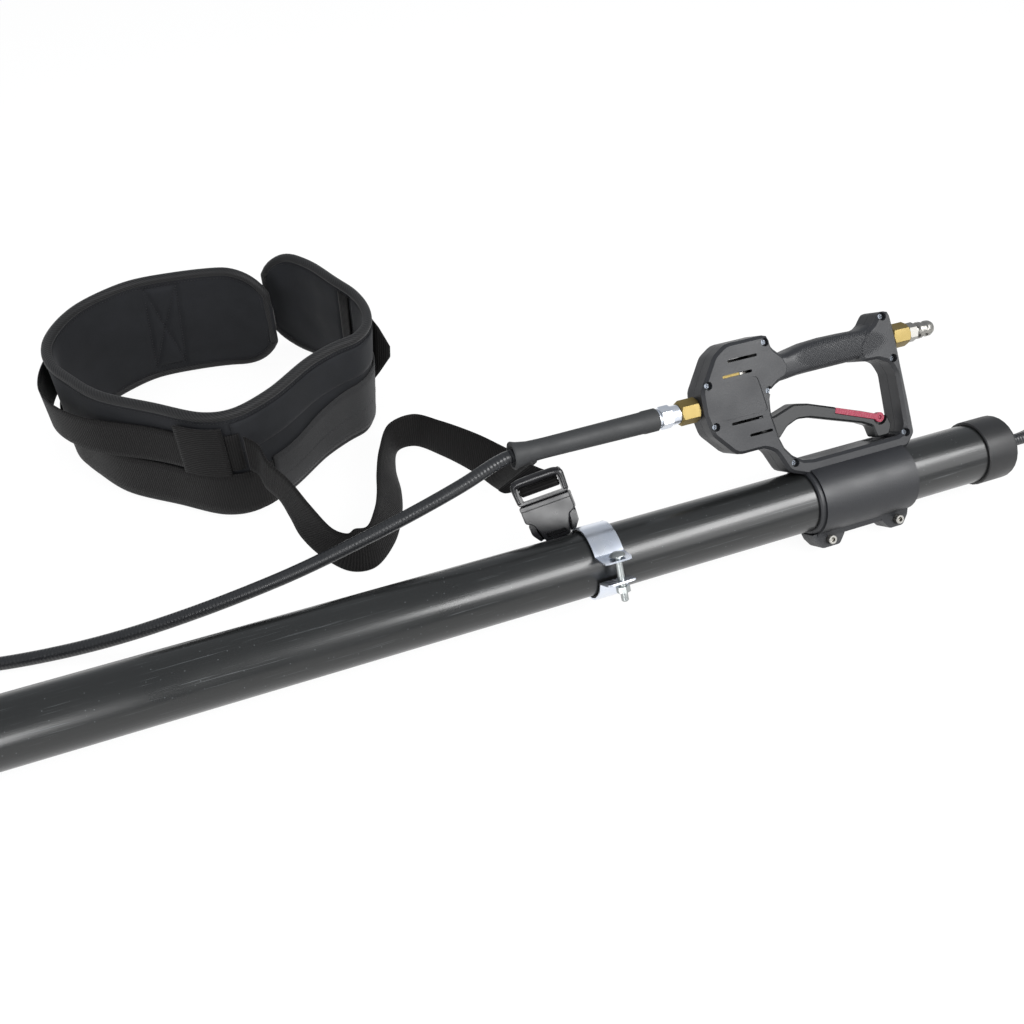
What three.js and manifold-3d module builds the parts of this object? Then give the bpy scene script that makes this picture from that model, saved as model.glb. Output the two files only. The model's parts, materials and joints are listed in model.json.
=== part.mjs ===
// Telescopic window cleaning pole with a trigger gun, a high-pressure hose and a padded waist belt.
// Millimetres, +Z up. The pole lies along X with its butt end toward +X, and the gun leans back toward +Y.
// Pole frame: x = 0 is the butt end of the base tube, and y = z = 0 is the pole's own axis.

import * as THREE from 'three';
import { mergeVertices } from 'three/addons/utils/BufferGeometryUtils.js';
import Module from 'manifold-3d';

const wasm = await Module();
wasm.setup();

// ---------------------------------------------------------------- driving dimensions

// fits
const SEAT_GAP = 0.3; // between pieces that touch
const SLIDE_GAP = 0.4; // radial, between telescoping tubes

// pole tubes
const BASE_OD = 54;
const BASE_WALL = 3.2;
const MIDDLE_WALL = 2.8;
const INNER_WALL = 2.5;
const SECTION_LENGTH = 1100; // each of the three tubes
const SECTION_STEP = 75; // how far each section stands out of the one around it when collapsed

// butt cap
const CAP_WALL = 2.3;
const CAP_DEPTH = 28;
const CAP_FLOOR = 3.5;
const CAP_EDGE = 3;

// tube locks
const COLLAR_WALL = 5;
const COLLAR_SEAT = 40; // length on the outer tube
const COLLAR_GRIP = 25; // length that grips the sliding tube
const LEVER_THICKNESS = 3.2;
const LEVER_WIDTH = 18;
const LEVER_START = 112; // degrees round the tube, from the front horizontal
const LEVER_SWEEP = 118;
const LOCK_PIN_RADIUS = 2;
const LOCK_EAR_WIDTH = 3;
const LOCK_LUG_FOOT = 9; // half widths of the flat-footed lug under each collar
const LOCK_LUG_ROOT = 14;

// tip
const TIP_FLANGE = 6;
const TIP_PLUG_DEPTH = 20;
const TIP_HEX = 22;
const NOZZLE_HEX = 14;

// hose
const HOSE_DIAMETER = 11.2;
const HOSE_BORE = 6;

// steel band clamp
const CLAMP_X = -401.5;
const CLAMP_WIDTH = 25;
const CLAMP_THICKNESS = 1.5;
const CLAMP_MIDDLE = 33.5; // degrees above the front horizontal, the middle of its mouth
const CLAMP_HALF_MOUTH = 22;
const CLAMP_EAR = 19;
const CLAMP_EAR_TILT = 6; // each ear leans toward the other
const CLAMP_EAR_ROUND = 5;
const CLAMP_BOLT_DIAMETER = 6;
const CLAMP_BOLT_REACH = 12.5; // from the ear's root to its hole

// trigger gun, in its own frame: x from the saddle's middle, z from the pole axis, y through its thickness
const GUN_X = -154;
const GUN_LEAN = 36.4; // degrees back from upright
const SHELL_DEPTH = 15; // each half, from the split
const SHELL_WALL = 2.8;
const SHELL_EDGE = 2.6;
const SADDLE_LENGTH = 94;
const SADDLE_WALL = 4.7;
const SADDLE_RIM = 4.5; // length of the thinner rim at the saddle's front end
const SADDLE_RIM_WALL = 2.9;
const LUG_DEPTH = 9;
const LUG_REACH = 44;
const LUG_SCREW_Z = -37.5;
const LUG_SCREW_X = 35.2;
const LUG_SCREW_RADIUS = 2.5;
const NUT_HEX = 8;
const NUT_HEIGHT = 4;
const NUT_POCKET = 2.5; // how deep each lug nut sits in its hexagon pocket
const HOUSING_LEFT = -135;
const HOUSING_RIGHT = -71;
const HOUSING_TOP = 150.5;
const HOUSING_BOTTOM = 57;
const REAR_X = 60;
const POST_FRONT = 54; // the rear post is a thin wall, with a wide curve up into the grip
const RAIL_TOP = 36.5;
const GRIP_TOP = 135.5;
const GRIP_BOTTOM = 110;
const HEAD_TOP = 146.5;
const OUTLET_Z = 102;
const INLET_Z = 122;
const SCREW_RADIUS = 3.4;
const SLOT_HEIGHT = 2.4;

// valve
const VALVE_LEFT = -130;
const VALVE_RIGHT = -95;
const VALVE_NECK = -117; // left side of the taller part that takes the inlet tube
const VALVE_TOP = 134;
const VALVE_SHOULDER = 113;
const VALVE_BOTTOM = 91;
const VALVE_HALF = 11.3;
const BORE_RADIUS = 6;
const SEAT_X = -107;
const BALL_RADIUS = 4.5;
const PIN_RADIUS = 2;
const SPRING_WIRE = 0.7;
const SPRING_COILS = 4;

// trigger
const PIVOT_X = -84;
const PIVOT_Z = 79;
const PIVOT_RADIUS = 2.5;
const TRIGGER_HALF = 7.5;
const CATCH_X = 35; // the safety catch's pivot, on the trigger
const CATCH_Z = 56;
const CATCH_LENGTH = 46;
const CATCH_WIDTH = 5;
const CATCH_ROUND = 4.4;
const CATCH_SLOPE = 20.3;
const CATCH_SWEEP = 6.8; // radius kept free round the catch's pivot

// fittings
const ADAPTER_HEX = 19;
const ADAPTER_LENGTH = 17.4; // of the hexagon that shows
const FERRULE_HEX = 17;
const HOSE_END_LENGTH = 19.3;
const SLEEVE_LENGTH = 129;
const SLEEVE_DIAMETER = 19.6;
const SLEEVE_MOUTH = 23.5;
const INLET_TUBE = 13;
const PLUG_DIAMETER = 15;

// belt, in its own frame: the middle of the ring on the floor
const BELT_X = -656;
const BELT_Y = 325;
const BELT_HEIGHT = 120;
const BELT_THICKNESS = 8;
const BELT_CORNER = 46;
const BELT_STEPS = 60;
const WEB_WIDTH = 40;
const WEB_THICKNESS = 1.8;
const UPPER_WEB_Z = 62;
const LOWER_WEB_Z = 8;
const LOWER_WEB_WIDTH = 50;
const LOOP_WIDTH = 46;

// side-release buckle, in its own frame: x across, y along its length away from the belt, z out of its back
const BUCKLE_WIDTH = 45.5;
const BUCKLE_FRAME = 22; // length of the plug's frame
const BUCKLE_BODY = 35; // length of the socket
const BUCKLE_THICKNESS = 8;
const BUCKLE_BAR = 4.6; // height of the plug's top bar
const BUCKLE_SLOT = 14.4;
const BUCKLE_SLOT_WIDTH = 36;
const STRAP_BAR_Y = 11.6; // the bar inside the slot that the strap is folded round
const STRAP_BAR_RADIUS = 1.4;
const STRAP_FOLD = 2.7; // radius of the fold, at the middle of the webbing
const ANCHOR_WIDTH = 24;
const TAIL_ANGLE = 192; // where the anchor strap leaves the band, degrees round the tube

// ---------------------------------------------------------------- derived sizes

const BASE_R = BASE_OD / 2;
const BASE_IR = BASE_R - BASE_WALL;
const MIDDLE_R = BASE_IR - SLIDE_GAP;
const MIDDLE_IR = MIDDLE_R - MIDDLE_WALL;
const INNER_R = MIDDLE_IR - SLIDE_GAP;
const INNER_IR = INNER_R - INNER_WALL;
const BASE_END = -SECTION_LENGTH;
const MIDDLE_END = BASE_END - SECTION_STEP;
const INNER_END = MIDDLE_END - SECTION_STEP;
const HOSE_R = HOSE_DIAMETER / 2;
const CAP_OUTER = CAP_FLOOR + SEAT_GAP;
const ANCHOR_IR = BASE_R + SEAT_GAP;
const CLAMP_IR = ANCHOR_IR + WEB_THICKNESS + SEAT_GAP;
const SADDLE_IR = BASE_R + SEAT_GAP;
const SADDLE_R = SADDLE_IR + SADDLE_WALL;
const CAVITY_DEPTH = SHELL_DEPTH - SHELL_WALL;
const SLEEVE_LEFT = HOUSING_LEFT - ADAPTER_LENGTH - HOSE_END_LENGTH - SLEEVE_LENGTH - 3 * SEAT_GAP;
const TRIGGER_FACE = -4; // the cam face, from the pivot
const SPLIT = SEAT_GAP / 2;
const radians = THREE.MathUtils.degToRad;
const LEAN = radians(GUN_LEAN);
// the part rests on the back corner of the gun's lugs
const AXIS_HEIGHT = LUG_REACH * Math.cos(LEAN) + LUG_DEPTH * Math.sin(LEAN);

// ---------------------------------------------------------------- materials

const LOOKS = {
  gloss_black: [0x141618, 0.18, 0.1],
  satin_black: [0x1d1f22, 0.5, 0],
  zinc: [0xc3c8cc, 0.32, 1],
  steel: [0xa9abad, 0.28, 1],
  brass: [0xc79a3c, 0.3, 1],
  red: [0xb3202e, 0.45, 0],
  rubber: [0x191a1b, 0.65, 0],
  webbing: [0x151617, 0.9, 0],
};

function material(look) {
  const [color, roughness, metalness] = LOOKS[look];
  return new THREE.MeshStandardMaterial({ color, roughness, metalness });
}

// ---------------------------------------------------------------- shape tools

function toSolid(geometry) {
  let closed = geometry;
  if (!geometry.userData.closed) {
    const bare = geometry.index ? geometry.toNonIndexed() : geometry.clone();
    bare.deleteAttribute('normal');
    bare.deleteAttribute('uv');
    closed = mergeVertices(bare, 1e-4);
  }
  // triangles that merging has flattened are left out
  const index = closed.index.array;
  const triangles = [];
  for (let i = 0; i < index.length; i += 3) {
    const [a, b, c] = [index[i], index[i + 1], index[i + 2]];
    if (a !== b && b !== c && c !== a) {
      triangles.push(a, b, c);
    }
  }
  return new wasm.Manifold(new wasm.Mesh({
    numProp: 3,
    vertProperties: new Float32Array(closed.attributes.position.array),
    triVerts: new Uint32Array(triangles),
  }));
}

function toGeometry(solid) {
  const mesh = solid.getMesh();
  const geometry = new THREE.BufferGeometry();
  geometry.setAttribute('position', new THREE.BufferAttribute(new Float32Array(mesh.vertProperties), 3));
  geometry.setIndex(new THREE.BufferAttribute(new Uint32Array(mesh.triVerts), 1));
  geometry.computeVertexNormals();
  geometry.userData.closed = true;
  return geometry;
}

function join(...geometries) {
  return toGeometry(geometries.map(toSolid).reduce((a, b) => a.add(b)));
}

function cut(geometry, ...tools) {
  return toGeometry(tools.map(toSolid).reduce((a, b) => a.subtract(b), toSolid(geometry)));
}

function common(a, b) {
  return toGeometry(toSolid(a).intersect(toSolid(b)));
}

function faceOut(geometry) {
  // turns every triangle of an indexed closed surface round if it is inside out
  const p = geometry.toNonIndexed().attributes.position;
  const [a, b, c] = [new THREE.Vector3(), new THREE.Vector3(), new THREE.Vector3()];
  let volume = 0;
  for (let i = 0; i < p.count; i += 3) {
    a.fromBufferAttribute(p, i);
    b.fromBufferAttribute(p, i + 1);
    c.fromBufferAttribute(p, i + 2);
    volume += a.dot(b.cross(c));
  }
  if (volume < 0) {
    const index = geometry.index.array;
    for (let i = 0; i < index.length; i += 3) {
      [index[i], index[i + 1]] = [index[i + 1], index[i]];
    }
  }
  return geometry;
}

function turned(profile, segments = 24) {
  // revolves [x, radius] pairs round the X axis
  const geometry = new THREE.LatheGeometry(profile.map(([x, r]) => new THREE.Vector2(r, x)), segments);
  return faceOut(geometry.rotateZ(-Math.PI / 2));
}

function pipe(x0, x1, outer, inner, segments = 28) {
  return turned([[x0, inner], [x0, outer], [x1, outer], [x1, inner], [x0, inner]], segments);
}

function rod(x0, x1, radius, segments = 20) {
  return turned([[x0, 0], [x0, radius], [x1, radius], [x1, 0]], segments);
}

function hexBar(x0, x1, acrossFlats, chamfer = 1) {
  // a hexagon bar along X with turned corners at both ends
  const corner = acrossFlats / Math.sqrt(3);
  const bar = new THREE.CylinderGeometry(corner, corner, x1 - x0, 6).rotateZ(Math.PI / 2);
  bar.translate((x0 + x1) / 2, 0, 0);
  if (chamfer === 0) {
    return bar;
  }
  const flat = acrossFlats / 2;
  const round = turned([
    [x0, 0], [x0, flat], [x0 + chamfer, corner], [x1 - chamfer, corner], [x1, flat], [x1, 0],
  ], 12);
  return common(bar, round);
}

function alongY(geometry) {
  // turns a shape made along X to lie along Y
  return geometry.rotateZ(Math.PI / 2);
}

function box(x0, x1, y0, y1, z0, z1) {
  const geometry = new THREE.BoxGeometry(x1 - x0, y1 - y0, z1 - z0);
  return geometry.translate((x0 + x1) / 2, (y0 + y1) / 2, (z0 + z1) / 2);
}

function roundedOutline(corners, smooth = 3) {
  // a closed outline through [x, z, radius] corners, each eased by its radius
  const shape = new THREE.Shape();
  const points = corners.map(([x, z]) => new THREE.Vector2(x, z));
  const count = corners.length;
  const outline = [];
  for (let i = 0; i < count; i += 1) {
    const here = points[i];
    const toLast = points[(i + count - 1) % count].clone().sub(here);
    const toNext = points[(i + 1) % count].clone().sub(here);
    const half = Math.abs(toLast.angleTo(toNext)) / 2;
    const reach = Math.min(corners[i][2] / Math.tan(half), toLast.length() * 0.49, toNext.length() * 0.49);
    const start = here.clone().addScaledVector(toLast.normalize(), reach);
    const end = here.clone().addScaledVector(toNext.normalize(), reach);
    if (reach < 0.4) {
      outline.push(here);
    } else {
      const bend = new THREE.QuadraticBezierCurve(start, here, end);
      outline.push(...bend.getPoints(smooth));
    }
  }
  shape.setFromPoints(outline);
  return shape;
}

function plateXZ(shape, y0, y1, edge = 0, edgeSegments = 2) {
  // a plate through its thickness in Y, with eased edges on both faces
  const geometry = new THREE.ExtrudeGeometry(shape, {
    depth: y1 - y0 - 2 * edge,
    bevelEnabled: edge > 0,
    bevelThickness: edge,
    bevelSize: edge,
    bevelOffset: -edge,
    bevelSegments: edgeSegments,
    curveSegments: 8,
  });
  geometry.applyMatrix4(new THREE.Matrix4().makeBasis(
    new THREE.Vector3(1, 0, 0), new THREE.Vector3(0, 0, 1), new THREE.Vector3(0, -1, 0)));
  return geometry.translate(0, y1 - edge, 0);
}

function barX(shape, x0, x1) {
  // a section drawn in (y, z), drawn out along X
  const geometry = new THREE.ExtrudeGeometry(shape, { depth: x1 - x0, bevelEnabled: false, curveSegments: 10 });
  geometry.applyMatrix4(new THREE.Matrix4().makeBasis(
    new THREE.Vector3(0, 1, 0), new THREE.Vector3(0, 0, 1), new THREE.Vector3(1, 0, 0)));
  return geometry.translate(x0, 0, 0);
}

function loft(rings) {
  // a closed skin through rings of equally many points, with flat ends
  const count = rings[0].length;
  const positions = [];
  const index = [];
  rings.forEach((ring) => ring.forEach((p) => positions.push(p.x, p.y, p.z)));
  for (let r = 0; r + 1 < rings.length; r += 1) {
    for (let i = 0; i < count; i += 1) {
      const a = r * count + i;
      const b = r * count + ((i + 1) % count);
      index.push(a, b, a + count, b, b + count, a + count);
    }
  }
  [0, rings.length - 1].forEach((r) => {
    const middle = rings[r].reduce((sum, p) => sum.add(p), new THREE.Vector3()).divideScalar(count);
    const centre = positions.length / 3;
    positions.push(middle.x, middle.y, middle.z);
    for (let i = 0; i < count; i += 1) {
      const a = r * count + i;
      const b = r * count + ((i + 1) % count);
      index.push(...(r === 0 ? [b, a, centre] : [a, b, centre]));
    }
  });
  const geometry = new THREE.BufferGeometry();
  geometry.setAttribute('position', new THREE.Float32BufferAttribute(positions, 3));
  geometry.setIndex(index);
  return faceOut(geometry);
}

function piece(parent, name, geometry, look) {
  const mesh = new THREE.Mesh(geometry, material(look));
  mesh.name = name;
  parent.add(mesh);
  return mesh;
}

// ---------------------------------------------------------------- pole

function poleTubes(pole) {
  piece(pole, 'base_tube', pipe(BASE_END, 0, BASE_R, BASE_IR, 44), 'gloss_black');
  const middleStart = MIDDLE_END + SECTION_LENGTH;
  piece(pole, 'middle_tube', pipe(MIDDLE_END, middleStart, MIDDLE_R, MIDDLE_IR, 36), 'gloss_black');
  const innerStart = INNER_END + SECTION_LENGTH;
  piece(pole, 'inner_tube', pipe(INNER_END, innerStart, INNER_R, INNER_IR, 32), 'gloss_black');
  // plain rings on the inner ends of the sliding tubes keep them central
  const bushLength = 12;
  piece(pole, 'middle_guide_ring', pipe(
    middleStart + SEAT_GAP, middleStart + SEAT_GAP + bushLength, BASE_IR - SEAT_GAP, INNER_R + 1), 'satin_black');
  piece(pole, 'inner_guide_ring', pipe(
    innerStart + SEAT_GAP, innerStart + SEAT_GAP + bushLength, MIDDLE_IR - SEAT_GAP, HOSE_R + 1.5), 'satin_black');
}

function buttCap(pole) {
  const outer = BASE_R + SEAT_GAP + CAP_WALL;
  const bore = BASE_R + SEAT_GAP;
  const hole = HOSE_R + 0.6;
  const far = CAP_OUTER;
  piece(pole, 'butt_cap', turned([
    [-CAP_DEPTH, bore], [-CAP_DEPTH, outer - 0.8], [-CAP_DEPTH + 0.8, outer],
    [far - CAP_EDGE, outer], [far - CAP_EDGE * 0.3, outer - CAP_EDGE * 0.3], [far, outer - CAP_EDGE],
    [far, hole], [SEAT_GAP, hole], [SEAT_GAP, bore], [-CAP_DEPTH, bore],
  ], 28), 'satin_black');
}

function lockPoint(radius, degrees) {
  const a = radians(degrees);
  return new THREE.Vector2(-radius * Math.cos(a), radius * Math.sin(a));
}

function tubeLock(pole, name, tubeEnd, outerR, slidingR) {
  // a moulded collar on the end of one tube, with a flip lever that squeezes it on the sliding tube
  const collarR = outerR + SEAT_GAP + COLLAR_WALL;
  const seatX = tubeEnd + COLLAR_SEAT;
  const gripX = tubeEnd - COLLAR_GRIP;
  const bore = slidingR + SLIDE_GAP;
  const body = turned([
    [seatX, outerR + SEAT_GAP], [seatX, collarR - 1.5], [seatX - 1.5, collarR], [gripX + 1.5, collarR],
    [gripX, collarR - 1.5], [gripX, bore], [tubeEnd - SEAT_GAP, bore], [tubeEnd - SEAT_GAP, outerR + SEAT_GAP],
    [seatX, outerR + SEAT_GAP],
  ], 22);
  const pinR = collarR + 6;
  const pinAt = lockPoint(pinR, LEVER_START);
  const leverX = gripX + COLLAR_GRIP / 2;
  const earX = LEVER_WIDTH / 2 + SEAT_GAP;
  const ear = (x0) => {
    const foot = new THREE.Shape();
    const along = lockPoint(1, LEVER_START);
    const side = new THREE.Vector2(-along.y, along.x);
    const at = (out, across) => along.clone().multiplyScalar(out).addScaledVector(side, across);
    foot.setFromPoints([
      at(collarR - COLLAR_WALL * 0.6, -7), at(pinR, -4.5), at(pinR + 4, -2), at(pinR + 4, 2),
      at(pinR, 4.5), at(collarR - COLLAR_WALL * 0.6, 7),
    ]);
    return barX(foot, x0, x0 + LOCK_EAR_WIDTH);
  };
  const pinHole = rod(leverX - 30, leverX + 30, LOCK_PIN_RADIUS + SEAT_GAP, 12).translate(0, pinAt.x, pinAt.y);
  const slit = box(gripX - 1, tubeEnd - 6, -1, 1, 0, collarR + 3)
    .applyMatrix4(new THREE.Matrix4().makeRotationX(radians(90 - LEVER_START + 8)));
  // the lug below holds the pole level with the gun's lugs and stops it rolling
  const root = -collarR + COLLAR_WALL * 0.6;
  const lug = barX(roundedOutline([
    [-LOCK_LUG_ROOT, root, 0.5], [-LOCK_LUG_FOOT, -AXIS_HEIGHT, 2], [LOCK_LUG_FOOT, -AXIS_HEIGHT, 2],
    [LOCK_LUG_ROOT, root, 0.5],
  ], 2), gripX + 3, seatX - 3);
  const ears = join(ear(leverX - earX - LOCK_EAR_WIDTH), ear(leverX + earX));
  const collar = cut(join(body, lug, ears), pinHole, slit);
  piece(pole, `${name}_collar`, collar, 'satin_black');

  const leverIR = collarR + SEAT_GAP;
  const leverOR = leverIR + LEVER_THICKNESS;
  const outline = [];
  const steps = 12;
  for (let i = 0; i <= steps; i += 1) {
    outline.push(lockPoint(leverOR, LEVER_START - 2 - (LEVER_SWEEP - 2) * (i / steps)));
  }
  outline.push(lockPoint(leverOR + 4, LEVER_START - LEVER_SWEEP - 5));
  outline.push(lockPoint(leverOR + 2.5, LEVER_START - LEVER_SWEEP - 8));
  for (let i = steps; i >= 0; i -= 1) {
    outline.push(lockPoint(leverIR, LEVER_START - 4 - (LEVER_SWEEP - 4) * (i / steps)));
  }
  const blade = new THREE.Shape();
  blade.setFromPoints(outline);
  const camR = pinR - collarR - SEAT_GAP;
  const cam = rod(leverX - LEVER_WIDTH / 2, leverX + LEVER_WIDTH / 2, camR, 20).translate(0, pinAt.x, pinAt.y);
  const lever = join(barX(blade, leverX - LEVER_WIDTH / 2, leverX + LEVER_WIDTH / 2), cam);
  piece(pole, `${name}_lever`, cut(lever, pinHole), 'satin_black');
  const pinReach = earX + LOCK_EAR_WIDTH;
  const pin = rod(leverX - pinReach, leverX + pinReach, LOCK_PIN_RADIUS, 12).translate(0, pinAt.x, pinAt.y);
  piece(pole, `${name}_pin`, pin, 'steel');
}

function tipParts(pole) {
  const flange = INNER_END - SEAT_GAP;
  const hole = 7;
  piece(pole, 'tip_plug', turned([
    [flange + TIP_PLUG_DEPTH, hole], [flange + TIP_PLUG_DEPTH, INNER_IR - SEAT_GAP],
    [flange, INNER_IR - SEAT_GAP], [flange, INNER_R], [flange - TIP_FLANGE + 1.5, INNER_R],
    [flange - TIP_FLANGE, INNER_R - 1.5], [flange - TIP_FLANGE, hole], [flange + TIP_PLUG_DEPTH, hole],
  ], 24), 'satin_black');
  // brass bulkhead fitting through the plug, with the hose tail behind it and the nozzle in front
  const hexBack = flange - TIP_FLANGE - SEAT_GAP;
  const hexFront = hexBack - 12;
  const tailEnd = flange + TIP_PLUG_DEPTH + 22;
  const fitting = cut(
    join(hexBar(hexFront, hexBack, TIP_HEX), rod(hexBack - 1, tailEnd, hole - SEAT_GAP, 20)),
    rod(hexFront - 1, tailEnd + 1, HOSE_BORE / 2, 16));
  piece(pole, 'tip_fitting', fitting, 'brass');
  const nozzleBack = hexFront - SEAT_GAP;
  const nozzleFront = nozzleBack - 26;
  const nozzle = join(
    hexBar(nozzleBack - 9, nozzleBack, NOZZLE_HEX),
    turned([
      [nozzleBack - 8, 0], [nozzleBack - 8, 5.5], [nozzleFront + 8, 5.5], [nozzleFront, 3.4], [nozzleFront, 0],
    ], 20));
  piece(pole, 'spray_nozzle', cut(nozzle, rod(nozzleFront - 1, nozzleBack + 1, 1, 10)), 'steel');
  // the hose inside the tubes, from the fitting's tail to the butt cap
  const hoseStart = tailEnd + SEAT_GAP;
  piece(pole, 'inner_hose', pipe(hoseStart, CAP_OUTER - 1, HOSE_R, HOSE_BORE / 2, 12), 'rubber');
}

// ---------------------------------------------------------------- band clamp

function bandClamp(pole) {
  // section in (y, z): the band round the tube, turned out at its mouth into two ears
  const outerR = CLAMP_IR + CLAMP_THICKNESS;
  const at = (radius, degrees) => lockPoint(radius, degrees);
  const steps = 20;
  const topRoot = CLAMP_MIDDLE + CLAMP_HALF_MOUTH;
  const lowRoot = CLAMP_MIDDLE - CLAMP_HALF_MOUTH;
  const ring = (radius, from, to) => Array.from({ length: steps + 1 },
    (_, i) => at(radius, from + (to - from) * (i / steps)));
  const earEnd = (rootDegrees, tilt) => {
    const direction = lockPoint(1, CLAMP_MIDDLE + tilt);
    return at(outerR, rootDegrees).addScaledVector(direction, CLAMP_EAR);
  };
  const wall = CLAMP_THICKNESS;
  const topTip = earEnd(topRoot, -CLAMP_EAR_TILT);
  const lowTip = earEnd(lowRoot, CLAMP_EAR_TILT);
  const topIn = lockPoint(wall, CLAMP_MIDDLE - CLAMP_EAR_TILT - 90);
  const lowIn = lockPoint(wall, CLAMP_MIDDLE + CLAMP_EAR_TILT + 90);
  const section = new THREE.Shape();
  section.setFromPoints([
    topTip, ...ring(outerR, topRoot, lowRoot + 360), lowTip, lowTip.clone().add(lowIn),
    ...ring(CLAMP_IR, lowRoot + 360 + 2, topRoot - 2), topTip.clone().add(topIn),
  ]);
  const x0 = CLAMP_X - CLAMP_WIDTH / 2;
  const x1 = CLAMP_X + CLAMP_WIDTH / 2;
  // bolt through both ears
  const topHole = at(outerR, topRoot).addScaledVector(lockPoint(1, CLAMP_MIDDLE - CLAMP_EAR_TILT), CLAMP_BOLT_REACH);
  const lowHole = at(outerR, lowRoot).addScaledVector(lockPoint(1, CLAMP_MIDDLE + CLAMP_EAR_TILT), CLAMP_BOLT_REACH);
  const middle = topHole.clone().add(lowHole).multiplyScalar(0.5);
  const span = topHole.distanceTo(lowHole);
  const down = lowHole.clone().sub(topHole).normalize();
  const frame = new THREE.Matrix4().makeBasis(
    new THREE.Vector3(0, down.x, down.y), new THREE.Vector3(1, 0, 0), new THREE.Vector3(0, down.y, -down.x));
  frame.setPosition(CLAMP_X + 1.5, middle.x, middle.y);
  const boltR = CLAMP_BOLT_DIAMETER / 2;
  const hole = rod(-span, span, boltR + SEAT_GAP, 16).applyMatrix4(frame);
  // the ears' corners are rounded off, seen along the bolt
  const outward = lockPoint(1, CLAMP_MIDDLE);
  const reach = Math.max(topTip.dot(outward), lowTip.dot(outward)) + 0.1;
  const trim = flatPlate([
    [x0 - 0.1, -3 * outerR, 1], [x1 + 0.1, -3 * outerR, 1], [x1 + 0.1, reach, CLAMP_EAR_ROUND],
    [x0 - 0.1, reach, CLAMP_EAR_ROUND],
  ], -3 * outerR, 3 * outerR);
  const trimFrame = new THREE.Matrix4().makeBasis(new THREE.Vector3(1, 0, 0),
    new THREE.Vector3(0, outward.x, outward.y), new THREE.Vector3(0, -outward.y, outward.x));
  const band = common(barX(section, x0, x1), trim.applyMatrix4(trimFrame));
  piece(pole, 'clamp_band', cut(band, hole), 'zinc');
  const slack = 1.5; // room for the leaning ears under the head and the nut
  const headUnder = -span / 2 - slack;
  const bolt = turned([
    [headUnder - 3.6, 0], [headUnder - 3.4, 3], [headUnder - 2.2, 5.4], [headUnder - 0.6, 6.6], [headUnder, 6.6],
    [headUnder, boltR], [span / 2 + 15, boltR], [span / 2 + 16, boltR - 1], [span / 2 + 16, 0],
  ], 16);
  piece(pole, 'clamp_bolt', bolt.applyMatrix4(frame), 'zinc');
  const nutStart = span / 2 + slack + 1.6;
  const nut = cut(hexBar(nutStart, nutStart + 5, 10, 0), rod(nutStart - 1, nutStart + 6, boltR + SEAT_GAP, 12));
  piece(pole, 'clamp_nut', nut.applyMatrix4(frame), 'zinc');
}

// ---------------------------------------------------------------- trigger gun

const SHELL_SCREWS = [
  [-69.5, 144.5], [-73, 104], [-128, 120], [-127.5, 85], [-60, 38], [47, 142.5], [52, 105], [54, 38],
];

function shellOutline() {
  // housing, neck, rail and rear post as one C-shaped outline, open where the grip is
  return roundedOutline([
    [-106, HOUSING_TOP, 14], [HOUSING_RIGHT + 6, HOUSING_TOP, 7], [HOUSING_RIGHT + 7, 139, 8],
    [-54, 129, 6], [-50, 120, 6], [-54, 112, 5], [HOUSING_RIGHT - 1, 106, 16], [HOUSING_RIGHT - 3, 84, 20],
    [-68, 52, 30], [-52, RAIL_TOP, 26], [POST_FRONT + 0.5, RAIL_TOP, 9], [POST_FRONT - 0.5, 91, 12],
    [POST_FRONT - 6, 102.5, 10], [POST_FRONT - 17, 107.2, 8], [21, 108, 4], [20, 122, 6], [27, 131, 6], [38, 138, 7], [45, HEAD_TOP, 6],
    [REAR_X - 5, HEAD_TOP, 9], [REAR_X - 2, 124, 4], [REAR_X - 0.3, 94, 6], [REAR_X + 1.5, 68, 6], [REAR_X + 3, 36, 5],
    [REAR_X - 6, 25, 6], [-48, 24, 9], [-66, 31, 9], [-76, 52, 12], [-86, HOUSING_BOTTOM, 12],
    [-112, HOUSING_BOTTOM, 12], [HOUSING_LEFT + 4, 78, 12], [HOUSING_LEFT, 96, 12],
    [HOUSING_LEFT, 116, 12], [-118, 143, 12],
  ], 2);
}

function gripLoft() {
  // the hand grip: a rounded bar that flares into the housing and into the rear post
  const middleZ = (GRIP_TOP + GRIP_BOTTOM) / 2;
  const half = (GRIP_TOP - GRIP_BOTTOM) / 2;
  const stations = [
    // x, top above the grip's middle, bottom below it, half thickness
    [-72, 17.5, 17, 13], [-64, 15, 17.5, 13.8], [-58, 10, 14.5, 14.4], [-50, half - 4, half + 1.2, 14.7],
    [-40, half - 2, half + 0.2, 14.8], [-28, half, half, 14.6], [-8, half + 1, half, 14.4],
    [12, half + 0.6, half, 14.4], [26, half, half, 14.6], [38, half + 3, half + 2, 14.6],
  ];
  const around = 18;
  const power = 2 / 3.2;
  const rings = stations.map(([x, up, low, thick]) => Array.from({ length: around }, (_, i) => {
    const a = (i / around) * Math.PI * 2;
    const c = Math.cos(a);
    const s = Math.sin(a);
    const y = thick * Math.sign(c) * Math.abs(c) ** power;
    const z = (s > 0 ? up : low) * Math.sign(s) * Math.abs(s) ** power;
    return new THREE.Vector3(x, y, middleZ + z);
  }));
  return loft(rings);
}

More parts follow.
